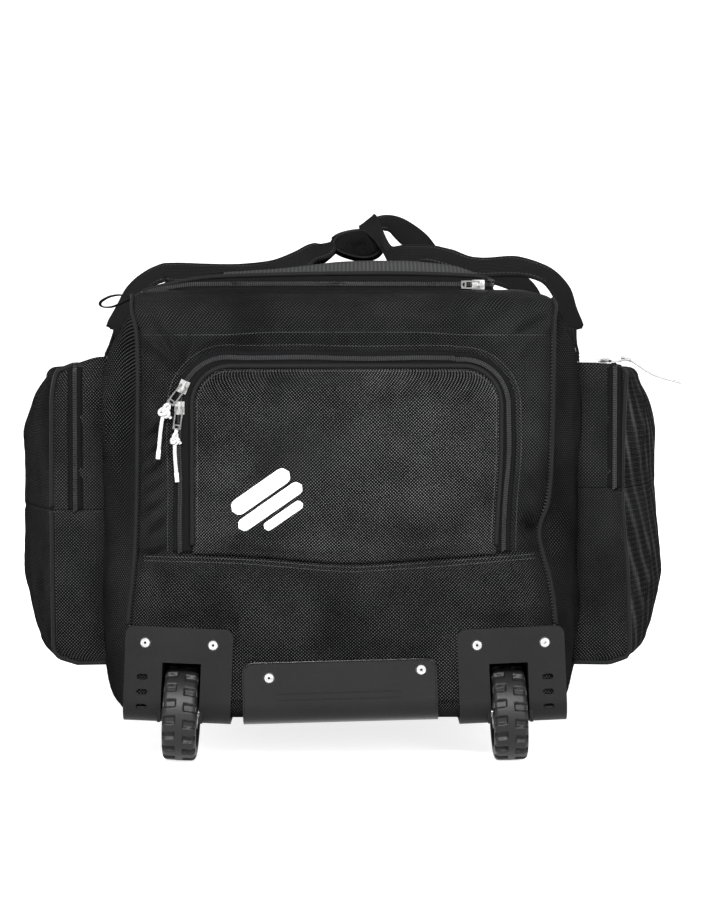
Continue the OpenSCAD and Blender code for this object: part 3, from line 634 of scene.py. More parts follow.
def half_width(side, d, z):
    """Half-width of the main compartment at distance d from the wheel end."""
    w = table(PLAN_L if side < 0 else PLAN_R, min(d, LENGTH - d))
    near = 1 - smooth(d / 45)
    w += (abs(edge_x(side, z)) - END_HALF) * near
    w -= 7 * (1 - smooth((z - FLOOR_Z) / 90)) * (1 - near)
    widen = 1 + min(d, LENGTH - d) / 2200
    if z > 340:
        w = min(w, table(SHOULDER_L if side < 0 else SHOULDER_R, 382 + (z - 382) / widen) * widen)
    return w


def deck_z(side, x, d=440):
    """Outer height of the top; it falls away to the wheel end."""
    return min(table(DECK_L if side < 0 else DECK_R, abs(x)), table(GUSSET, d))


def top_z(x):
    """Outer height of the top away from the ends, on either side."""
    return deck_z(LEFT if x < 0 else RIGHT, x)


def floor_line(d):
    """Height of the underside, round at both ends."""
    for run, r in ((d, 22.0), (LENGTH - d, 14.0)):
        if run < r:
            return FLOOR_Z + r - math.sqrt(r * r - (r - run) ** 2)
    return FLOOR_Z


def soften(points):
    for _ in range(3):
        points = ([points[0]] + [(points[i - 1] + points[i] * 2 + points[i + 1]) / 4
                                 for i in range(1, len(points) - 1)] + [points[-1]])
    return points


def half_section(side, d):
    """Outline from the lid opening's edge over the shoulder, down and under to the middle."""
    low = floor_line(d)
    x_in = -OPEN_X0 if side < 0 else OPEN_X1
    z_top = deck_z(side, END_HALF, d)
    while half_width(side, d, z_top) > END_HALF and deck_z(side, half_width(side, d, z_top), d) < z_top:
        z_top -= 1.0
    w_top = half_width(side, d, z_top)
    top = [Vector((x, 0, deck_z(side, x, d))) for x in span(x_in, w_top - 2, 16)]
    wall = [Vector((half_width(side, d, z), 0, z)) for z in span(z_top, low + 27, 56)]
    r = 25.0
    corner = [Vector((wall[-1].x - r + r * math.cos(a), 0, low + r - r * math.sin(a))) for a in quarter(7)]
    under = [Vector((corner[-1].x * (1 - i / 28), 0, low)) for i in range(1, 29)]
    pts = top + wall + corner + under
    return [Vector((side * p.x, 0, p.z)) for p in pts[:1] + soften(pts[1:])]


# ---------------------------------------------------------- folds in cloth


def fold(p, a, b, width, height, bow=0.0):
    """Height at p (2D) of a soft ridge from a to b that dies away at its ends."""
    ax, ay = a
    bx, by = b
    dx, dy = bx - ax, by - ay
    ll = dx * dx + dy * dy
    t = ((p[0] - ax) * dx + (p[1] - ay) * dy) / ll
    if t < -0.15 or t > 1.15:
        return 0.0
    off = ((p[0] - ax) * dy - (p[1] - ay) * dx) / math.sqrt(ll) - bow * math.sin(math.pi * t)
    if abs(off) > 3 * width:
        return 0.0
    taper = max(0.0, math.sin(math.pi * min(1, max(0, t * 0.87 + 0.065))))
    return height * taper * math.exp(-(off / width) ** 2)


def crumple(x, y, seed, size=60.0, height=1.0):
    """Broad unevenness of slack cloth, a little sharper than plain noise."""
    a = wave((x, y, 0), size, seed)
    b = wave((x * 1.9, y * 1.1, 7), size, seed + 3)
    return height * (a * 0.8 + (0.35 - abs(b)) * 0.8)


def folded(rows, x, z):
    """Height at a point of all the folds in a table."""
    return sum(fold((x, z), *row) for row in rows)


# --------------------------------------------------------------- main shell

STATIONS = sorted({0, 3, 7, 12, 17, 22, 27, 33, 40, 46, 53, 59, 858, 866, 871, 875, 878, LENGTH}
                  | {round(d, 2) for d in span(OPEN_D0, OPEN_D1, 96)} | {OPEN_D1 + 6 * i for i in range(7)})


def shell_relief(side, d, p):
    """How far the standing wall puffs out at a point."""
    ends = smooth(d / 34) * smooth((LENGTH - d) / 40)
    wall = smooth((p.z - FLOOR_Z - 6) / 40) * smooth((deck_z(side, 150) + 6 - p.z) / 30)
    h = crumple(d, p.z, 11 + side, 90, 3.6) + crumple(d, p.z * 0.6, 17 + side, 34, 1.5)
    for k in range(7):
        y = 60 + k * 125
        lean = 40 * math.sin(k * 2.3 + side)
        h += fold((d, p.z), (y, 380), (y + lean, 250), 9, 3.8, 6)
        h += fold((d, p.z), (y + 60, 70), (y + 30 - lean, 190), 10, 3.4, -6)
    return h * ends * wall


def shell_rows():
    rows = []
    for d in STATIONS:
        halves = []
        for side in (LEFT, RIGHT):
            half = []
            for p in half_section(side, d):
                x, z = p.x + side * shell_relief(side, d, p), p.z
                if z > 430:
                    z += crumple(p.x, d, 23, 50, 1.2) * smooth(d / 70)
                half.append(v(x, Y0 + d, z))
            halves.append(half)
        left, right = halves
        rows.append(left + right[-2::-1] + [right[0].lerp(left[0], i / 40) for i in range(1, 40)])
    return rows


SHELL = shell_rows()
N_LOOP = len(SHELL[0])
DECK_FIRST = N_LOOP - 40         # first column of the deck between the lid opening's edges


def shell_keep(i, j):
    """Leaves out the lid's opening, the gusset's place and the wheel wells."""
    d = (STATIONS[j] + STATIONS[j + 1]) / 2
    if i >= DECK_FIRST:
        return 59 < d < OPEN_D0 or d > OPEN_D1
    if d < 59 and (i < 16 or i >= DECK_FIRST - 16):
        return False
    p = (SHELL[j][i] + SHELL[j + 1][(i + 1) % N_LOOP]) / 2
    if p.z < 0.075 and 0.128 < abs(p.x) < 0.180 and d < 91:
        return False
    return True


grid("main_shell", SHELL, LINED_SIDE, "bag",
     ("side_panel_left", "side_panel_right", "bottom_panel", "deck_panel"), "shell_fabric", shell_keep,
     closed=True, flip=True, thick=(2.6, 1))

# ---------------------------------------------------------- wheel end face

ZIP_HALF, ZIP_TOP, ZIP_R, FOLD_Z = 153.0, 380.0, 45.0, 199.0
# the seam across the wheel end, under the end pocket: distance from the middle, height
SEAM = [(-196, 199), (-94, 195.5), (0, 188.5), (56, 191), (133, 196.8), (196, 202.5)]


def zip_dist(x, z):
    """Distance outside the end pocket's zip line."""
    ax = abs(x)
    if z < ZIP_TOP - ZIP_R:
        return ax - ZIP_HALF
    if ax < ZIP_HALF - ZIP_R:
        return z - ZIP_TOP
    return math.hypot(ax - ZIP_HALF + ZIP_R, z - ZIP_TOP + ZIP_R) - ZIP_R


# rows of (from, to, width, height, bow): heights below zero are valleys
FACE_FOLDS = [
    ((-146, 364), (-189, 402), 5, 4.2, 2), ((-150, 372), (-166, 418), 5, 3.6, -2),
    ((-140, 376), (-112, 412), 6, 3.2, 2), ((-150, 366), (-178, 412), 3.5, -3.2, 0),
    ((-144, 374), (-138, 412), 4, -3.0, 0), ((-172, 330), (-190, 322), 6, 2.0, 0),
    ((-120, 392), (-70, 418), 7, 1.8, 3), ((150, 372), (186, 404), 6, 2.8, -3), ((132, 384), (170, 428), 7, 2.6, 3),
    ((100, 400), (142, 436), 6, 2.4, -2), ((150, 396), (190, 420), 5, -2.6, 0), ((118, 398), (158, 436), 5, -2.4, 0),
    ((84, 410), (118, 438), 6, 2.0, 0), ((164, 352), (190, 330), 6, 2.0, 0), ((163, 318), (190, 292), 6, 2.4, 2),
    ((163, 286), (188, 256), 6, 2.6, 2), ((164, 250), (184, 222), 7, 3.6, 0), ((160, 232), (184, 205), 9, -7.5, 0),
    ((156, 214), (180, 203), 6, 3.2, 0), ((-110, 190), (-180, 120), 12, 2.2, 8), ((60, 186), (140, 140), 14, 2.4, -8),
    ((-20, 178), (70, 120), 16, 1.8, 6), ((-165, 240), (-190, 204), 7, 3.8, 0), ((-160, 214), (-188, 200), 5, 3.4, 0),
    ((-164, 226), (-188, 206), 4, -3.4, 0)]
FACE_FOLDS += [((-190, z + 17 * k), (-163, z + 21 + 18 * k), width, height, bow)
               for z, width, height, bow in ((222, 4.5, 2.6, 1.5), (213, 4.0, -2.4, 1.0)) for k in range(6)]


def zip_wobble(x, z):
    """How far the sewn zip wanders from its drawn line, outward positive."""
    w = 1.3 * wave((x, 0, z), 46, 9) - 0.4
    if x > 100:
        w -= 1.2 + 4.6 * smooth((300 - z) / 100)
    if x < -100 and z > 320:
        w *= 0.3
    return w


def band_pucker(x, z):
    """Gathers in the sewn band over the zip."""
    t = 1 - abs(z - 396) / 11
    if t <= 0:
        return 0.0
    mid = 1 - smooth((abs(x + 10) - 70) / 60)
    a = math.sin(x / 2.6 + 2.2 * wave((x, 0, 0), 30, 5)) * 0.9 + 0.7 * wave((x * 1.4, 0, 3), 9, 2)
    return 1.3 * t + 2.3 * a * t * (0.5 + 0.9 * mid)


def groove(dist, width, depth):
    """Sunk line of a seam."""
    return -depth * math.exp(-(dist / width) ** 2)


def face_out(x, z):
    """How far the wheel end's cloth stands out at a point, in mm."""
    seam = table(SEAM, x)
    edge = min(x - edge_x(LEFT, z), edge_x(RIGHT, z) - x)
    free = smooth(edge / 16)
    if z < seam:
        t = (z - 64) / (seam - 64)
        h = 5.5 * math.sin(math.pi * min(1, max(0, t))) ** 0.7 * free
        h += (crumple(x, z, 3, 70, 4.2) + crumple(x, z, 8, 26, 1.3)) * free * smooth((seam - z) / 14)
        h *= smooth((z - 130) / 20) if abs(x) > 98 else smooth((z - 98) / 24)       # flat behind the plates
    else:
        away = zip_dist(x, z)
        h = 1.6 * smooth((away - 8) / 20) * free
        h += crumple(x, z, 5, 42, 3.2) * free * smooth((away - 9) / 12)
        h += 3.0 * smooth((z - 408) / 14) * free
    near_zip = smooth((zip_dist(x, z) - 8) / 9) if z > seam - 4 else 1.0
    h += 2.2 * folded(FACE_FOLDS, x, z) * near_zip * smooth(edge / 6)
    upper = 406 - 2.5 * smooth((abs(x) - 60) / 60) - 3 * smooth((abs(x) - 130) / 40)
    h += groove(z - upper, 1.6, 1.6) * free
    if abs(x) < 120:
        h += groove(z - (386 - 2 * smooth((abs(x) - 40) / 60)), 1.5, 1.2)
    h += band_pucker(x, z - 3 + 3 * smooth((abs(x) - 60) / 60)) * free
    h += groove(z - seam, 2.0, 3.0)
    h -= 4.5 * (1 - smooth(edge / 12)) ** 2
    return h


FACE_LOW, FACE_HIGH = 60, 406        # above that the cloth rolls on to the top
FACE_NX, FACE_NZ = 130, 124


def face_rows():
    rows = []
    for z in span(FACE_LOW, FACE_HIGH, FACE_NZ):
        rows.append([v(x, Y0 - face_out(x, z), z) for x in span(edge_x(LEFT, z), edge_x(RIGHT, z), FACE_NX)])
    for k in range(1, 29):
        d = 59.5 * (k / 28) ** 1.6
        cap = table(GUSSET, d)
        xl, xr = -half_width(LEFT, d, cap), half_width(RIGHT, d, cap)
        row = []
        for x in span(xl, xr, FACE_NX):
            z = deck_z(LEFT if x < 0 else RIGHT, x, d)
            h = face_out(x * 191 / max(abs(xl), xr), z) * (1 - smooth((d - 20) / 38))
            row.append(v(x, Y0 + d - h * 0.8, z + h * smooth(d / 12) * 0.6))
        rows.append(row)
    return rows


FACE = face_rows()


def face_keep(i, j):
    """Leaves out the end pocket's opening and the wheel wells."""
    p = (FACE[j][i] + FACE[j + 1][i + 1]) / 2 * 1000
    if j < FACE_NZ and zip_dist(p.x, p.z) - zip_wobble(p.x, p.z) < 3.5 and p.z > table(SEAM, p.x) + 5:
        return False
    if p.z < 96 and 131 < abs(p.x) < 177:
        return False
    return True


grid("wheel_end_cloth", FACE, LINED, "bag",
     ("wheel_end_lower_panel", "end_pocket_border", "top_gusset_panel"), "shell_fabric", face_keep,
     thick=(2.4, 1))


def zip_line():
    """Points (x, z, nx, nz) along the end pocket's zip, from its left foot to its right foot."""
    foot, knee = FOLD_Z + 0.6, ZIP_TOP - ZIP_R

    def arc(x, start):
        return [(x + ZIP_R * math.cos(a), knee + ZIP_R * math.sin(a), math.cos(a), math.sin(a))
                for a in (start - q for q in quarter(24)[:-1])]

    drawn = ([(-ZIP_HALF, z, -1, 0) for z in span(foot, knee, 45)] + arc(-108, math.pi)
             + [(x, ZIP_TOP, 0, 1) for x in span(-108, 108, 72)] + arc(108, math.pi / 2)
             + [(ZIP_HALF, z, 1, 0) for z in span(knee, foot, 45)])
    return [(x + nx * w, z + nz * w, nx, nz) for x, z, nx, nz in drawn for w in [zip_wobble(x, z)]]


ZIP_LINE = zip_line()


def tape_rows(levels):
    """Strip along the zip; each level is (how far out from the line, how far proud)."""
    return [[v(x + nx * o, Y0 - y - 0.35 * wave((x, o * 3, z), 14, 4), z + nz * o) for o, y in levels]
            for x, z, nx, nz in ZIP_LINE]


LEAVES = (("outer", 1, "bag"), ("inner", -1, "end_flap"))
TAPES = {"outer": [(0.5, 1.4), (2.2, 1.6), (2.8, 1.2), (4.6, 1.1), (6.6, 0.7)],
         "inner": [(-11.5, 1.6), (-6, 1.4), (-3.2, 1.3), (-2.5, 1.6), (-0.5, 1.4)]}
for leaf, hand, body in LEAVES:
    grid("end_zip_tape_" + leaf, tape_rows(TAPES[leaf]), ZIP_TAPE, body, ("end_zip_" + leaf,), "zip_tape",
         thick=(1.0, 0, -1))
for leaf, hand, body in LEAVES:
    coil("end_zip_coil_" + leaf, [v(x, Y0 - 2.3, z) for x, z, _, _ in ZIP_LINE], [FRONT] * len(ZIP_LINE), hand, body)

# inside of the end pocket: floor and back in lining cloth
POCKET_IN = [(3.5, 196.2), (14, 195.4), (28, 195.4), (38, 196.0), (43, 199), (44.5, 206), (44.5, 225), (45, 260),
             (45, 300), (44.5, 340), (44, 380), (43, 398)]
grid("end_pocket_lining", [[v(x, Y0 + d - 2.2 * crumple(x, z + d, 27, 60, 1.0) * smooth((d - 12) / 20), z)
                            for x in range(-182, 183, 7)] for d, z in spline(POCKET_IN, 5.0)],
     LINING, "bag", ("end_pocket_back",), "lining", thick=(1.5,))

# flap: puffed panel inside its piping
# half-widths, top and corner radius of the flap inside its piping
FLAP_HALF, FLAP_TOP, FLAP_R = {LEFT: 141.5, RIGHT: 146.0}, 372.0, 36.0


def right_lean(z):
    """The right leg of the zip and piping bends in toward its foot."""
    return 1.2 + 4.6 * smooth((300 - z) / 100)


def flap_limits(z):
    """Left and right edge of the flap's cloth at height z."""
    cut = FLAP_R - math.sqrt(max(0.0, FLAP_R ** 2 - max(0.0, z - FLAP_TOP + FLAP_R) ** 2))
    return cut - FLAP_HALF[LEFT], FLAP_HALF[RIGHT] - cut - right_lean(z)


def flap_edge():
    """Points (x, z, nx, nz) round the flap's sewn edge, left foot to right foot."""
    knee = FLAP_TOP - FLAP_R
    zs = span(FOLD_Z + 0.6, knee, 45)

    def arc(side):
        out = []
        for a in quarter(24)[:-1]:
            z = knee + FLAP_R * math.sin(a)
            x = FLAP_HALF[side] - FLAP_R + FLAP_R * math.cos(a) - (right_lean(z) if side > 0 else 0)
            out.append((side * x, z, side * math.cos(a), math.sin(a)))
        return out

    return ([(-FLAP_HALF[LEFT], z, -1, 0) for z in zs] + arc(LEFT)
            + [(x, FLAP_TOP, 0, 1) for x in span(-105.5, 108.5, 72)] + arc(RIGHT)[::-1]
            + [(FLAP_HALF[RIGHT] - right_lean(z), z, 1, 0) for z in reversed(zs)])


FLAP_EDGE = flap_edge()

FLAP_FOLDS = [((-40 + 26 * k, 368), (-36 + 25 * k + 8 * math.sin(3.1 * k), 342 - 6 * (k % 2)), 4.5, 1.9, 2)
              for k in range(-3, 7)]
FLAP_FOLDS += [((-132, 300), (-96, 322), 7, 2.0, 2), ((-136, 270), (-90, 262), 9, 1.6, 4),
               ((134, 250), (96, 300), 10, 2.0, -5), ((-120, 356), (-100, 330), 6, 2.4, 0),
               ((118, 356), (90, 326), 8, 2.2, 3), ((-60, 236), (60, 214), 16, 2.0, -6),
               ((120, 220), (40, 250), 12, 1.6, 4), ((-128, 216), (-70, 232), 9, 1.8, 3)]


def flap_out(x, z):
    """How far the end flap's cloth stands out at a point, in mm."""
    xl, xr = flap_limits(z)
    foot = table(SEAM, x) + 1
    u = min(x - xl, xr - x, FLAP_TOP - z)
    rim = smooth(u / 26)
    base = 1.2 + 6.5 * rim * (0.55 + 0.45 * smooth((z - foot) / 40))
    h = base + (crumple(x, z, 31, 62, 3.8) + crumple(x, z, 37, 24, 1.2)) * rim + 0.5 * wave((x, 0, z), 17, 6) * rim
    h += 2.1 * folded(FLAP_FOLDS, x, z) * smooth(u / 5)
    return 1.0 + (h - 1.0) * smooth((z - foot) / 12)


def flap_rows():
    rows = []
    for j in range(73):
        z0 = FOLD_Z + (FLAP_TOP - FOLD_Z - 0.6) * (1 - (1 - j / 72) ** 1.25)
        row = []
        for x in span(*flap_limits(z0), 100):
            foot = table(SEAM, x) + 0.8
            z = foot + (z0 - FOLD_Z) * (FLAP_TOP - foot) / (FLAP_TOP - FOLD_Z)
            row.append(v(x, Y0 - 1.0 - flap_out(x, z), z))
        rows.append(row)
    return rows


# the flap's cloth is the lighter copy of the nylon, a painted sheen
flap = grid("end_flap_cloth", flap_rows(), [NYLON_FLAP_LIT, LINING], None, ("end_flap",), "shell_fabric",
            thick=(2.2, 1))
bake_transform(flap)
sweep("end_flap_piping", resample([v(x, Y0 - 3.0, z) for x, z, _, _ in FLAP_EDGE if z > 204], 0.003), ring(2.3, 10),
      BINDING, "end_flap", up=FRONT)


def emblem():
    """Generic mark: three slanted rounded bars printed on the flap."""
    parts = []
    n, m = 26, 6
    for (x0, z0), (x1, z1), half in (((-98, 242), (-58, 270), 7.5), ((-93, 225.5), (-45, 259), 6.0),
                                     ((-71, 224), (-43, 243.5), 4.2)):
        d = Vector((x1 - x0, z1 - z0))
        length = d.length
        d /= length
        verts, faces = [], []
        for s in span(-half, length + half, n):
            over = max(0.0, -s, s - length)
            w = math.sqrt(max(0.05, half * half - over * over)) if over else half
            for c in span(-w, w, m):
                x, z = x0 + d.x * s - d.y * c, z0 + d.y * s + d.x * c
                verts.append(v(x, Y0 - 1.35 - flap_out(x, z), z))
        for a in (i * (m + 1) + k for i in range(n) for k in range(m)):
            faces.append((a, a + 1, a + m + 2, a + m + 1))
        parts.append((verts, faces))
    return join_meshes("printed_mark", parts)


thicken(add("printed_mark", emblem(), PRINT, "end_flap"), 0.25, 0, -1)


def face_line(points):
    """Stitch line through points (x, z) of the wheel end, cut off at the corner seams."""
    return [(v(x, Y0 - face_out(x, z) - 0.15, z), FRONT) for x, z in points
            if edge_x(LEFT, z) + 4 < x < edge_x(RIGHT, z) - 4]


FINE_STITCH = (3.3, 2.4, 0.6, 0.3)
stitches("wheel_end_stitching", [
    face_line([(x + nx * 11.5, z + nz * 11.5) for x, z, nx, nz in ZIP_LINE]),
    face_line([(x, table(SEAM, x) - 3.2) for x in range(-188, 189, 4)]),
    face_line([(x, table(SEAM, x) - 7.0) for x in range(-187, 188, 4)]),
    face_line([(x, 403.0 - 2.5 * smooth((abs(x) - 60) / 60)) for x in range(-186, 187, 4)])], FINE_STITCH, "bag")
inner = [(x - nx * 4.8, z - nz * 4.8) for x, z, nx, nz in FLAP_EDGE if z > 206]
stitches("end_flap_stitching", [[(v(x, Y0 - 1.1 - flap_out(x, z), z), FRONT) for x, z in inner]], FINE_STITCH,
         "end_flap")

# corner piping, from the plates up over the gusset to the deck
for side, tag in SIDES:
    pts = [(edge_x(side, z) + side * 0.8, 1.0, z) for z in range(132, 407, 9)]
    for d in (1, 2.5, 6, 10.5, 18, 29, 42, 55):
        x = half_width(side, d, table(GUSSET, d))
        pts.append((side * (x + 0.6), d, deck_z(side, x, d) + 1.0))
    pts.append((side * (x - 3), 62, pts[-1][2] - 6))
    sweep("corner_piping_" + tag, spline([v(x, Y0 + d, z) for x, d, z in pts], 0.004), ring(1.9, 10), BINDING,
          "bag", ("corner_piping",) if side < 0 else (), up=Vector((side * 0.7, -0.7, 0)))

# -------------------------------------------------------------------- lid

LID_D0, LID_D1, LID_X0, LID_X1 = 55.0, 830.0, -191.0, 140.0
# along x: height of the lid's piped edge, how far its crown rises over that, height of the zip
LID_EDGE = [(-196, 440), (-190, 443), (-170, 449), (-133, 456), (-60, 459), (0, 460), (60, 460), (118, 458),
            (132, 456), (140, 453)]
LID_CROWN = [(-196, 0), (-170, 1), (-133, 2.5), (-60, 6.5), (0, 11), (60, 12), (110, 8), (140, 2)]
SPLIT = [(-200, 437), (-191, 440.5), (-170, 445.5), (-140, 449), (141, 449)]
FRONT_Y, BACK_Y = Y0 + LID_D0, Y0 + LID_D1


def lid_top(x, y):
    """Outer height of the lid."""
    inner = min(y - FRONT_Y, BACK_Y - y, LID_X1 - x)
    h = table(LID_EDGE, x) + table(LID_CROWN, x) * smooth(inner / 34) ** 0.8
    h += crumple(x, y, 41, 95, 1.6) * smooth(inner / 40)
    for k in range(6):
        h += fold((x, y), (120, FRONT_Y + 90 + 120 * k), (-100, FRONT_Y + 60 + 125 * k), 16, 1.8, 10)
    return h


lid_rows = [[v(-199, y, 438.0), v(-195.5, y, 439.6)] + [v(x, y, lid_top(x, y)) for x in span(LID_X0, LID_X1, 84)]
            for y in span(FRONT_Y, BACK_Y, 120)]
lid = grid("lid_cloth", lid_rows, [GREY_RIB, LINING, NYLON_B], None, ("lid_panel",), "lid_fabric", thick=(2.6, 1))
for poly in lid.data.polygons:
    if poly.center.x < -0.118:
        poly.material_index = 2
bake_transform(lid)


def lid_loop():
    """Points (x, y, nx, ny) round the lid's three open edges, from the wheel end's left corner."""
    r = 12.0
    turn = [(math.sin(a), math.cos(a)) for a in quarter(6)[:-1]]
    return ([(x, FRONT_Y, 0, -1) for x in span(LID_X0, LID_X1 - r, 110)]
            + [(LID_X1 - r + r * s, FRONT_Y + r - r * c, s, -c) for s, c in turn]
            + [(LID_X1, y, 1, 0) for y in span(FRONT_Y + r, BACK_Y - r, 240)]
            + [(LID_X1 - r + r * c, BACK_Y - r + r * s, c, s) for s, c in turn]
            + [(x, BACK_Y, 0, 1) for x in span(LID_X1 - r, LID_X0, 110)])


LID_LOOP = lid_loop()


def split_z(lift):
    """Height of the lid's zip plus a lift."""
    return lambda x: table(SPLIT, x) + lift


def between(t, lift=0.0):
    """Height part of the way from the zip up to the lid's edge."""
    return lambda x: table(SPLIT, x) * (1 - t) + table(LID_EDGE, x) * t + lift


# each level of a tape is (height at x, how far out)
TAPES = {"upper": [(split_z(0.6), 0.9), (split_z(2.6), 1.2), (split_z(3.1), 0.6), (between(0.75), 0.4),
                   (between(1.0, 0.5), -1.5)],
         "lower": [(lambda x: top_z(x) - 1.2, 7.5), (lambda x: top_z(x) - 0.2, 2.5), (split_z(-3.0), 0.9),
                   (split_z(-2.4), 1.2), (split_z(-0.6), 0.9)]}
LEAVES = (("upper", -1, "lid", "lid_rim"), ("lower", 1, "bag", "lid_zip_lower"))
for leaf, hand, body, node in LEAVES:
    rows = [[v(x + nx * o, y + ny * o, z(x)) for z, o in TAPES[leaf]] for x, y, nx, ny in LID_LOOP]
    grid("lid_zip_tape_" + leaf, rows, ZIP_TAPE, body, (node,), "zip_tape", flip=True, thick=(1.2,))
for leaf, hand, body, node in LEAVES:
    coil("lid_zip_coil_" + leaf, [v(x + nx * 1.3, y + ny * 1.3, table(SPLIT, x)) for x, y, nx, ny in LID_LOOP],
         [Vector((nx, ny, 0)) for _, _, nx, ny in LID_LOOP], hand, body, 1.9)
sweep("lid_piping", resample([v(x + nx * 0.6, y + ny * 0.6, table(LID_EDGE, x) - 0.8) for x, y, nx, ny in LID_LOOP],
                             0.004), ring(2.1, 8), BINDING, "lid")

# ------------------------------------------------------------ side pockets

PY0, PY1 = -372.5, 87.5         # front and back of both pockets
P_LOW, P_TOP, P_ZIP_X = 87.0, 372.0, 258.0
# how far the outer face bulges, height of the flap's hinge fold, share of the bulge by height,
# distance of the face's front and back edges from the middle, rise of the top toward the bag
CROWN = {LEFT: 51.0, RIGHT: 56.0}
FOLD = {LEFT: 233.0, RIGHT: 254.0}
FULL = [(86, 0.38), (98, 0.68), (125, 0.88), (160, 1), (300, 1), (330, 0.87), (345, 0.76), (366, 0.52)]
P_EDGE = {LEFT: [(86, 277), (100, 279.5), (340, 280), (366, 276)],
          RIGHT: [(86, 274), (172, 271), (249, 265.5), (351, 268), (368, 270)]}
P_RISE = {LEFT: 8.5, RIGHT: 3.0}


def pocket_out(side, z, t):
    """Distance of a pocket's outer face from the middle of the bag."""
    bow = table(FULL, z) * (1 - (2 * t - 1) ** 2)
    return table(P_EDGE[side], z) + CROWN[side] * bow


def pocket_top(side, x, t):
    """Height of a pocket's top; t runs from 0 at its front end to 1 at its back end."""
    dip = 1.7 * smooth(min(t, 1 - t) / 0.055) * smooth((x - 232) / 20)
    return P_TOP + P_RISE[side] * smooth((268 - x) / 36) - dip


def pocket_section(side, t, y):
    """Outline from the wall over the top, down the outer face and back under, in three parts."""
    d = y - Y0
    wall_hi, wall_lo = half_width(side, d, 376) - 2, half_width(side, d, 90) - 2
    z_hi = pocket_top(side, 272, t)
    r, q = 11.0, 15.0
    x_hi, x_lo = pocket_out(side, z_hi - r, t), pocket_out(side, P_LOW + q, t)
    top, face = ([Vector((x, 0, pocket_top(side, x, t))) for x in xs]
                 for xs in (span(wall_hi, P_ZIP_X, 6), span(P_ZIP_X, x_hi - r, 8)))
    face += [Vector((x_hi - r + r * math.sin(w), 0, z_hi - r + r * math.cos(w))) for w in quarter(5)]
    face += [Vector((pocket_out(side, z, t), 0, z)) for z in span(z_hi - r, FOLD[side], 30)[1:]]
    low = [Vector((pocket_out(side, z, t), 0, z)) for z in span(FOLD[side], P_LOW + q, 30)]
    low += [Vector((x_lo - q + q * math.cos(w), 0, P_LOW + q - q * math.sin(w))) for w in quarter(5)]
    low += [Vector((x, 0, P_LOW)) for x in span(low[-1].x, wall_lo, 10)[1:]]
    return top, face, low


def pocket_relief(side, y, z, t):
    """Folds and unevenness of a pocket's outer face."""
    ends = smooth(min(t, 1 - t) / 0.05)
    h = crumple(y, z, 51 + side, 70, 2.2) + crumple(y, z, 57 + side, 28, 0.7)
    for k in range(5):
        y0 = PY0 + 30 + 95 * k
        h += fold((y, z), (y0, 120 + 20 * (k % 2)), (y0 + 55, 205), 9, 2.6, 6)
        h += fold((y, z), (y0 + 50, 350), (y0 + 15, 275), 8, 2.2, -5)
    h += groove(z - FOLD[side] + 3, 2.0, 1.6)
    return h * ends * smooth((z - P_LOW - 4) / 20)


T_STEPS = [0, 0.004, 0.012] + span(0.02, 0.98, 84) + [0.988, 0.996, 1]


def pocket_end(side, tag, end, hand):
    """Flat end of a pocket with its piping."""
    y, t = (PY0, 0.0) if end == "front" else (PY1, 1.0)
    flap_body = "pocket_flap_" + tag

    def wall(z):
        return half_width(side, y - Y0, min(z, 380)) - 1.5

    def edge(z):
        x = pocket_out(side, z, t) - 1.0
        for r, into in ((11, z - P_TOP + 11), (15, P_LOW + 15 - z)):
            if into > 0:
                x -= r - math.sqrt(max(0.0, r * r - into ** 2))
        return x

    def split(z):
        return P_ZIP_X + (7 if side < 0 and end == "front" else 0) * smooth((P_TOP - z) / 25)

    def bump(x, z):
        w, e = wall(z), edge(z)
        u = smooth(min(x - w, e - x) / 10)
        h = 2.5 * u + crumple(x, z, 61 + side * 2 + hand, 48, 1.3) * u
        for z0 in range(100, 309, 52):
            h += fold((x, z), (238, z0), (266, z0 + 32), 5, 1.8, 2) * u
        return h + groove(z - FOLD[side] + 2, 1.8, 2.0) * u

    for part, body, zs, x0, x1, m in (("lower", "bag", span(P_LOW, FOLD[side], 44), wall, edge, 18),
                                      ("inner", "bag", span(FOLD[side], P_TOP, 40), wall, split, 12),
                                      ("outer", flap_body, span(FOLD[side], P_TOP, 40), split, edge, 6)):
        rows = [[v(side * x, y + hand * (bump(x, z) - 0.5), z if z < P_TOP else pocket_top(side, x, t))
                 for x in span(x0(z), x1(z), m)] for z in zs]
        grid(f"pocket_{end}_{tag}_{part}", rows, LINED, body, flip=side * hand > 0, thick=(2.0, 1))
    rim = [(edge(z) + 1.2, z) for z in span(P_LOW, P_TOP, 59)]
    lower = [(wall(P_LOW) + 2, P_LOW), (edge(P_LOW) - 4, P_LOW - 0.5)] + [p for p in rim if P_LOW < p[1] < FOLD[side]]
    upper = [p for p in rim if FOLD[side] + 1 < p[1] < P_TOP] + [(edge(P_TOP) - 4, P_TOP + 0.5), (259.5, P_TOP + 0.8)]
    for part, pts, body in (("lower", lower, "bag"), ("upper", upper, flap_body)):
        sweep(f"pocket_piping_{end}_{tag}_{part}", resample([v(side * x, y + hand * 0.6, z) for x, z in pts], 0.004),
              ring(2.3, 8), BINDING, body, up=Vector((0, hand, 0)))


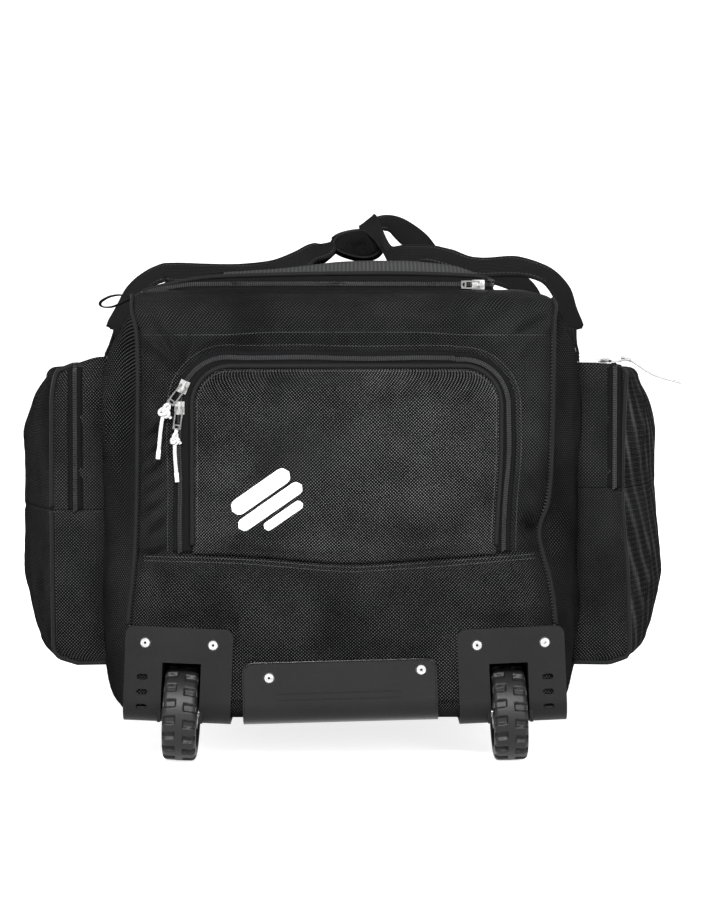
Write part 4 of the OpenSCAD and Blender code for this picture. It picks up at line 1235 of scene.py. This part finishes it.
def pocket_zip(side):
    """Line of a pocket's zip up the front, along the top and down the back: (point, outward) pairs."""
    r = 5.0
    reach = r + 3.2
    zs = span(FOLD[side] + 1, P_TOP - r, 46)
    turn = [(math.sin(a), math.cos(a)) for a in quarter(6)[:-1]]
    line = [((P_ZIP_X, PY0 - 3.2, z), (0, -1, 0)) for z in zs]
    line += [((P_ZIP_X, PY0 - 3.2 + reach * (1 - c), P_TOP + 0.4 - r + r * s), (0, -c, s)) for s, c in turn]
    line += [((P_ZIP_X, y, pocket_top(side, P_ZIP_X, (y - PY0) / (PY1 - PY0)) + 0.2), (0, 0, 1))
             for y in span(PY0 + r, PY1 - r, 120)]
    line += [((P_ZIP_X, PY1 + 3.2 - reach * (1 - s), P_TOP + 0.4 - r + r * c), (0, s, c)) for s, c in turn]
    return line + [((P_ZIP_X, PY1 + 3.2, z), (0, 1, 0)) for z in reversed(zs)]


def pocket_side(side, tag):
    parts = ([], [], [])
    for t in T_STEPS:
        y = PY0 + (PY1 - PY0) * t
        # pull the skin in a little where it meets the flat ends
        turn = 2.1 * (1 - smooth(min(t, 1 - t) / 0.02))
        for rows, pts in zip(parts, pocket_section(side, t, y)):
            rows.append([v(side * (p.x + (pocket_relief(side, y, p.z, t) - turn if p.x > 262 else 0)), y, p.z)
                         for p in pts])
    body = "pocket_flap_" + tag
    cloth = NYLON_MARKED if side > 0 else NYLON_B
    shape = {"flip": side < 0, "thick": (2.2, 1)}
    grid("pocket_top_" + tag, parts[0], LINED_SIDE, "bag", **shape)
    skin = grid("pocket_flap_cloth_" + tag, parts[1], [cloth, LINING], None, ("side_flap_" + tag,), "shell_fabric",
                **shape)
    grid("pocket_lower_" + tag, parts[2], [cloth, LINING], "bag", ("side_pocket_" + tag,), "shell_fabric", **shape)
    pocket_end(side, tag, "front", -1)
    pocket_end(side, tag, "back", 1)
    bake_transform(skin)
    line = pocket_zip(side)
    for leaf, rides, node, levels in (
            ("inner", "bag", ("side_zip_inner",) if side < 0 else (),
             [(-7, 0.1), (-3.2, 0.7), (-2.6, 1.3), (-0.5, 1.1)]),
            ("outer", body, ("side_zip_outer_" + tag,), [(0.5, 1.1), (2.6, 1.3), (3.2, 0.7), (7, 0.1)])):
        grid(f"pocket_zip_tape_{tag}_{leaf}",
             [[v(side * (x + o), y + ny * l, z + nz * l) for o, l in levels] for (x, y, z), (_, ny, nz) in line],
             ZIP_TAPE, rides, node, "zip_tape", flip=side < 0, thick=(1.0,))
    for leaf, hand, rides in (("inner", -side, "bag"), ("outer", side, body)):
        coil(f"pocket_zip_coil_{tag}_{leaf}",
             [v(side * x, y + ny * 1.5, z + nz * 1.5) for (x, y, z), (_, ny, nz) in line],
             [Vector(out) for _, out in line], hand, rides)


for side, tag in SIDES:
    pocket_side(side, tag)

# ---------------------------------------------------------------- webbing

RIGHT_PROFILE = [(237.8, 408.5), (237, 412), (230, 429), (223, 448), (208, 469), (181, 482), (139, 482),
                 (112, 496), (91, 520), (66, 536), (44, 539), (26, 530), (6, 512)]
LEFT_PROFILE = [(237.8, 408.5), (237, 412), (228, 428), (219, 444), (209, 458), (196, 470), (180, 475), (120, 475),
                (81, 479), (56, 489), (38, 499), (20, 504), (2, 509)]


def handle(side, profile, name, grip_x, sags):
    """One length of webbing: up from one stitched end, along the grip and down to the other."""
    prof = spline([(x, 0, z) for x, z in profile], 2.0)
    run = running(prof)

    def s_of(x):
        for k in range(len(prof) - 1):
            if prof[k].x >= x >= prof[k + 1].x:
                f = (prof[k].x - x) / max(1e-6, prof[k].x - prof[k + 1].x)
                return run[k] + f * (run[k + 1] - run[k])
        return run[-1] if x < prof[-1].x else 0.0

    def at_s(s):
        s = min(max(s, 0.0), run[-1])
        k = min(len(run) - 2, next(i for i in range(len(run)) if run[i] >= s or i == len(run) - 1))
        k = max(0, k - 1) if run[k] > s else k
        return prof[k].lerp(prof[k + 1], (s - run[k]) / max(1e-6, run[k + 1] - run[k]))

    half = [(s_of(x), y) for x, y in ((237.8, 188), (223, 181), (181, 160), (139, 139), (112, 124), (80, 106),
                                      (56, 90), (38, 70), (grip_x, 46), (grip_x, 20))]
    mid = spline([(s, y, 0) for s, y in half] + [(s, -y, 0) for s, y in reversed(half)], 4.0)
    rows = []
    for i, p in enumerate(mid):
        t = (mid[min(len(mid) - 1, i + 1)] - mid[max(0, i - 1)]).normalized()
        n = Vector((-t.y, t.x, 0))
        tilt = math.radians(32 + 6 * smooth((p.x - 12) / 40) + 17 * smooth((p.x - 150) / 60))
        row = []
        for c in span(-18.8, 18.8, 8):
            q = p + n * c * math.cos(tilt)
            g, h = at_s(q.x), at_s(q.x + 2)
            up = Vector((h.z - g.z, 0, g.x - h.x))
            if up.length > 0.01:
                up.normalize()
            lift = (c * math.sin(tilt) * n.y - 15 * math.sin(tilt) * smooth((p.x - 40) / 60) * abs(n.y)
                    + 0.9 * (c / 19) ** 2 + 0.6 * wave((q.x, q.y, 0), 40, 71))
            sag = table(sags, g.x) * smooth((-q.y - 40) / 32)
            row.append(v(side * (g.x + up.x * lift), q.y, g.z + up.z * lift + sag))
        rows.append(row)
    obj = grid(name + "_webbing", rows, WEBBING, name, (name,), "webbing")
    modifier(obj, "SOLIDIFY", thickness=0.0025, offset=0)
    modifier(obj, "BEVEL", width=0.0007, segments=2, limit_method="ANGLE", angle_limit=math.radians(50))
    stitches(name + "_webbing_stitching", [[(r[k] + UP * 0.0013, UP) for r in rows[7:-7]] for k in (1, 7)],
             (4.4, 3.2, 0.8, 0.4), name)


handle(RIGHT, RIGHT_PROFILE, "handle_right", 25.0,
       [(6, 0), (25, -16), (44, -42), (66, -39), (91, -24), (112, -5), (139, 0)])
handle(LEFT, LEFT_PROFILE, "handle_left", 21.0, [(2, 0), (240, 0)])


WRAP_X, WRAP_Z = 15, 503


def wrap_ring(r):
    """Function of an angle and a height along the grip that gives a point on the wrap's oval."""
    def point(a, y, extra=0.0):
        rr = r * (1 + 0.07 * math.cos(2 * a + 0.6) - 0.05 * math.cos(3 * a)) + extra
        return v(WRAP_X + rr * math.cos(a) * 1.5, y, WRAP_Z + rr * math.sin(a) * 0.92)
    return point


def wrap():
    """Padded grip wrap: an uneven closed tube with bound ends and a closing flap."""
    turn = span(0, 2 * math.pi, 40)[:-1]
    rows = []
    for y in span(-50, 50, 52):
        pad = wrap_ring(18.6 * (1 - 0.16 * abs(y / 50) ** 6))
        rows.append([pad(a, y, crumple(a * 20, y, 81, 16, 0.9)) for a in turn])
    for hand in (-1, 1):
        end = rows[0 if hand < 0 else -1]
        mid = sum(end, Vector()) / len(end)
        for f in (0.8, 0.5, 0.2, 0.03):
            cap = [mid.lerp(p, f) + Vector((0, hand * 0.004 * (1 - f * f), 0)) for p in end]
            rows.insert(0 if hand < 0 else len(rows), cap)
    pad = grid("handle_wrap_pad", rows, NYLON_B, "handle_right", ("handle_wrap",), "grip_rubber", closed=True,
               flip=True)
    for y, tag in ((-49.5, "near"), (49.5, "far")):
        sweep("handle_wrap_binding_" + tag, [wrap_ring(16.4)(a, y) for a in turn], ring(1.3, 8), BINDING,
              "handle_right", closed=True, up=BACK)
    tail = [[v(-8 - 30 * t, y, 500 - 20 * t - 3 * math.sin(math.pi * t) + crumple(y, 30 * t, 83, 18, 1.2))
             for t in span(0, 1, 12)] for y in span(-44, 44, 22)]
    grid("handle_wrap_tail", tail, NYLON_B, "handle_right", thick=(2.6, 0, 0))
    tab = []
    for y in span(-21, 21, 14):
        inset = 6 * max(0, abs(y) / 21 - 0.72) / 0.28
        tab.append([wrap_ring(20.0)(math.radians(a), y) for a in span(38 + inset * 2, 156 - inset * 2, 14)])
    grid("handle_wrap_tab", tab, GREY_RIB, "handle_right", thick=(1.4, 0, 0))


wrap()
SEWN = (3.4, 2.5, 0.7, 0.4)


def anchor(side, y, z_low, name, node=()):
    """End of the webbing, sewn flat on the wall with a boxed cross."""
    rows = []
    for z in span(z_low, 409.5, 40):
        row = []
        for yy in span(y - 18.6, y + 18.6, 6):
            w = half_width(side, yy - Y0, min(z, 392))
            x = w + shell_relief(side, yy - Y0, Vector((w, 0, min(z, 392)))) + 1.7
            row.append(v(side * (x + (236.6 - x) * smooth((z - 388) / 21)), yy, z))
        rows.append(row)
    modifier(grid(name, rows, WEBBING, "bag", node, "webbing"), "SOLIDIFY", thickness=0.0022, offset=0)
    out = Vector((side, 0, 0))
    lift = out * 0.0013
    sewn = [(r[1] + lift, r[5] + lift) for r in rows if r[3].z < 0.386]
    lines = [[(pair[k], out) for pair in sewn] for k in (0, 1)]
    for (a, _), (_, b) in ((sewn[0], sewn[-1]), (sewn[0], sewn[0]), (sewn[-1], sewn[-1])):
        lines.append([(a.lerp(b, k / 12), out) for k in range(13)])
    stitches(name + "_stitching", lines, SEWN, "bag")


def strap_fold(side, y, name):
    """Webbing doubled back at the shoulder, where the handle leaves the wall."""
    rows = []
    for z in span(374, 410.5, 14):
        x0, x1 = half_width(side, y - Y0, z) - 3, 236.8 - 1.5 * (1 - smooth((z - 374) / 20))
        trim = 0.5 if z < 410.5 else 2.0
        half = [(x0, 1), ((x0 + x1) / 2, 1), (x1 - trim, 1), (x1, 0.9)]
        sec = [(x0, -1), (x0, 0)] + half + [(x1, 0)] + [(x, -t) for x, t in half[:0:-1]]
        rows.append([v(side * x, y + t * (18.4 - trim), z) for x, t in sec])
    mid = sum(rows[-1], Vector()) / len(rows[-1])
    rows.append([mid.lerp(p, 0.05) for p in rows[-1]])
    grid(name, rows, WEBBING, "bag", closed=True, flip=side < 0)


for side, tag in SIDES:
    for y, end in ((-ANCHOR_Y, "near_"), (ANCHOR_Y, "far_")):
        strap_fold(side, y, "webbing_fold_" + end + tag)
    anchor(side, -ANCHOR_Y, 375, "webbing_anchor_near_" + tag, ("webbing_anchors",) if side < 0 else ())
    anchor(side, ANCHOR_Y, 64, "webbing_anchor_far_" + tag)

# small loop at the left front corner, in a plane across the bag
LOOP_Y = -404.5
LOOP = [(-203, 436.5), (-211, 438.4), (-220, 437.4), (-227.5, 434), (-231, 430.2), (-228, 427.3), (-220, 427.2),
        (-211, 430.5), (-203, 434.5)]
loop_path = spline([v(x, LOOP_Y, z) for x, z in LOOP], 0.002)
loop_mid = v(-217, LOOP_Y, 432.5)
sweep("corner_loop_webbing", loop_path, strap_section(17, 1.4), WEBBING, "bag", ("corner_loop",),
      up=lambda i: loop_path[i] - loop_mid)

# --------------------------------------------------------------- far end


def far_out(x, z):
    """How far the far end's cloth stands out at a point, in mm."""
    w = half_width(RIGHT, LENGTH, z)
    edge = min(w - abs(x), z - 52, 440 - z)
    h = 6.0 * smooth(edge / 60) + crumple(x, z, 91, 80, 2.2) * smooth(edge / 25)
    for k in range(6):
        h += fold((x, z), (-150 + 60 * k, 70), (-175 + 66 * k, 170), 12, 2.4, 6)
        h += fold((x, z), (-160 + 64 * k, 425), (-140 + 56 * k, 345), 11, 2.2, -5)
    h *= 1 - 0.9 * smooth(1 - abs(abs(x) - 75) / 40) * smooth(1 - abs(z - 355) / 50)
    return h * smooth(edge / 10)


far_rows = []
for z in span(56, 442.5, 90):
    xl, xr = -half_width(LEFT, LENGTH, z), half_width(RIGHT, LENGTH, z)
    far_rows.append([v(x, Y1 + far_out(x, z) * (1 if z > 58 else 0), min(z, top_z(x))) for x in span(xl, xr, 96)])
grid("far_end_cloth", far_rows, LINED, "bag", ("far_end_panel",), "shell_fabric", flip=True,
     thick=(2.4, 1))
far_pipe = ([(-half_width(LEFT, LENGTH, z), z) for z in range(58, 432, 10)]
            + [(-150, 443.5), (-60, 444), (60, 444), (150, 443.5)]
            + [(half_width(RIGHT, LENGTH, z), z) for z in range(428, 57, -10)])
sweep("far_end_piping", spline([v(x, Y1 + 0.5, z) for x, z in far_pipe], 0.005), ring(2.9, 10), BINDING, "bag",
      up=BACK)

GRIP_Y, GRIP_Z, TOW_X = 448, 272, 75        # the tow handle's grip, and how far its ends stand from the middle
TOW = [(-TOW_X, 434, 331.5), (-TOW_X, 437, 327.5), (-TOW_X, 441.5, 321.5), (-TOW_X, 445.5, 314),
       (-TOW_X, 447.6, 304), (-73, GRIP_Y, 290), (-64, GRIP_Y, 277), (-48, GRIP_Y, GRIP_Z), (-20, GRIP_Y, GRIP_Z)]
tow_path = spline([v(*p) for p in TOW] + [v(-x, y, z) for x, y, z in reversed(TOW)], 0.003)


def tow_up(i):
    t = smooth((0.331 - tow_path[i].z) / 0.03)
    return Vector((0, 0.8 + 0.2 * t, 0.6 - 0.6 * t))


sweep("tow_webbing", tow_path, lambda t: strap_section(34 - 11 * smooth((min(t, 1 - t) - 0.16) / 0.1), 2.4), WEBBING,
      "tow_handle", ("tow_strap",), up=tow_up)
for side, tag in SIDES:
    rows = [[v(x, Y1 + 1.6 + far_out(x, z) * 0.6, z) for x in (side * TOW_X + c for c in (-17, -9, 0, 9, 17))]
            for z in range(331, 384, 4)]
    modifier(grid("tow_anchor_" + tag, rows, WEBBING, "bag"), "SOLIDIFY", thickness=0.002, offset=0)
    a, b = rows[1], rows[-2]
    lines = [[r[0].lerp(r[1], 0.3) for r in rows], [r[4].lerp(r[3], 0.3) for r in rows], a, b,
             [a[0].lerp(b[4], k / 10) for k in range(11)], [a[4].lerp(b[0], k / 10) for k in range(11)]]
    out = BACK
    stitches("tow_anchor_stitching_" + tag, [[(p + out * 0.0012, out) for p in line] for line in lines], SEWN, "bag")
grip_rows = []
for x in span(-54, 54, 60):
    r = 13.1 + 0.7 * math.cos(2 * math.pi * x / 7.2) * smooth((52 - abs(x)) / 4) - 1.6 * smooth((abs(x) - 50) / 4)
    grip_rows.append([v(x, GRIP_Y + r * math.cos(a), GRIP_Z + r * math.sin(a) * (1 + 0.03 * math.cos(3 * a)))
                      for a in span(0, 2 * math.pi, 32)[:-1]])
grid("tow_grip_sleeve", grip_rows, GRIP, "tow_handle", ("tow_grip",), "grip_rubber", closed=True, thick=(2.5,))

# ----------------------------------------------------------- wheels, plates


def tyre(side, tag):
    """Small block-tread tyre: a smooth middle rib between two columns of deep pockets."""
    lean = math.radians(2.5) * side
    axis, up = Vector((math.cos(lean), 0, math.sin(lean))), Vector((-math.sin(lean), 0, math.cos(lean)))
    centre = v(side * 154, -417.5, 45.35)
    flat = [-15.4 + 0.56 * k for k in range(56)]
    prof = [(-10.5, 31.2), (-13.5, 31.4), (-15.6, 33), (-16, 36), (-15.9, 39)]
    prof += [(w, 40 + math.sqrt(max(0, 4.6 ** 2 - max(0, abs(w) - 11.2) ** 2)) + 0.4 * (1 - (w / 15.4) ** 2))
             for w in flat]
    prof += [(-w, r) for w, r in prof[4::-1]]
    n, rows = 18 * 18, []
    for k in range(n + 1):
        a = 2 * math.pi * (k % n) / n
        spoke = up * math.cos(a) + BACK * math.sin(a)
        row = []
        for w, r in prof:
            pos = (18 * a / (2 * math.pi) + (0.25 if w > 0 else 0.0) + abs(w) * 0.006) % 1
            pocket = 1 - smooth((abs(pos - 0.5) * 15.7 - 3.0) / 1.0)
            deep = smooth((abs(w) - 3.2) / 1.1) * (1 - smooth((abs(w) - 15.0) / 0.6))
            row.append(centre + axis * (w * MM) + spoke * ((r - (3.5 * pocket * deep if r > 39.5 else 0)) * MM))
        rows.append(row)
    tread = grid("tyre_tread_" + tag, rows, RUBBER, "wheel_" + tag, ("tyre_" + tag,), "tyre_rubber")
    modifier(tread, "WELD", merge_threshold=0.00001)


for side, tag in SIDES:
    tyre(side, tag)

# welt round the top of the centre skid plate
skid = NODES["centre_skid_plate"]
skid_y = min((skid.matrix_world @ Vector(c)).y for c in skid.bound_box) * 1000
turn = [(10 * math.sin(a), 10 * math.cos(a)) for a in quarter(6)[:-1]]
rim = ([(-94, 52 + 6 * k) for k in range(6)] + [(-84 - c, 88 + s) for s, c in turn]
       + [(x, 98) for x in span(-84, 76, 20)] + [(76 + s, 88 + c) for s, c in turn]
       + [(86, 82 - 6 * k) for k in range(6)])
sweep("centre_plate_rim", [v(x - 0.026 * (z - 40), skid_y + 0.1, z + 0.026 * (x + 4)) for x, z in rim], ring(1.1, 8),
      GLOSS, "bag", up=FRONT)

# ------------------------------------------------------------ stage, lights


def stage():
    """White floor that curves up into a wall on every side."""
    turn = span(0, 2 * math.pi, 48)[:-1]
    rows = [[Vector((r * math.cos(a), r * math.sin(a), z)) for a in turn]
            for r, z in ((0.05, 0), (2, 0), (4, 0), (6, 0), (7, 0.12), (8, 0.5), (8.8, 1.1), (9.4, 2), (9.7, 3.2),
                         (9.8, 4.6))]
    white = Mat("studio_white", (0.5, 0.5, 0.5), 0.9, Emission_Color=(1, 1, 1, 1), Emission_Strength=0.8)
    grid("studio_floor", rows, white.mat, None, closed=True, flip=True)


stage()
for name, place, target, size, power in (
        ("key", (-0.4, -2.8, 1.8), (0, 0, 0.22), (0.9, 0.7), 268),
        ("side_right", (1.2, -2.8, 0.9), (0.3, 0, 0.2), (0.6, 0.8), 62),
        ("side_left", (-2.4, -1.7, 1.2), (0, 0, 0.25), (0.9, 1.4), 8),
        ("top", (0, 0.6, 3.4), (0, 0, 0.3), (3.4, 3.0), 60),
        ("rear_left", (-2.2, 2.4, 1.1), (0, 0.1, 0.25), (1.0, 1.2), 75),
        ("rear_right", (2.2, 2.4, 1.1), (0, 0.1, 0.25), (1.0, 1.2), 75),
        ("back", (0, 2.2, 3.0), (0, 5.0, 1.2), (4, 1.6), 220)):
    data = bpy.data.lights.new(name, "AREA")
    data.shape = "RECTANGLE"
    data.size, data.size_y = size
    data.energy = power
    lamp = bpy.data.objects.new(name, data)
    bpy.context.scene.collection.objects.link(lamp)
    lamp.location = place
    lamp.rotation_euler = (Vector(target) - Vector(place)).to_track_quat("-Z", "Y").to_euler()
world = bpy.data.worlds.new("studio")
bpy.context.scene.world = world
world.use_nodes = True
world.node_tree.nodes["Background"].inputs[0].default_value = (1, 1, 1, 1)
world.node_tree.nodes["Background"].inputs[1].default_value = 0.22
bpy.context.scene.view_settings.view_transform = "Standard"
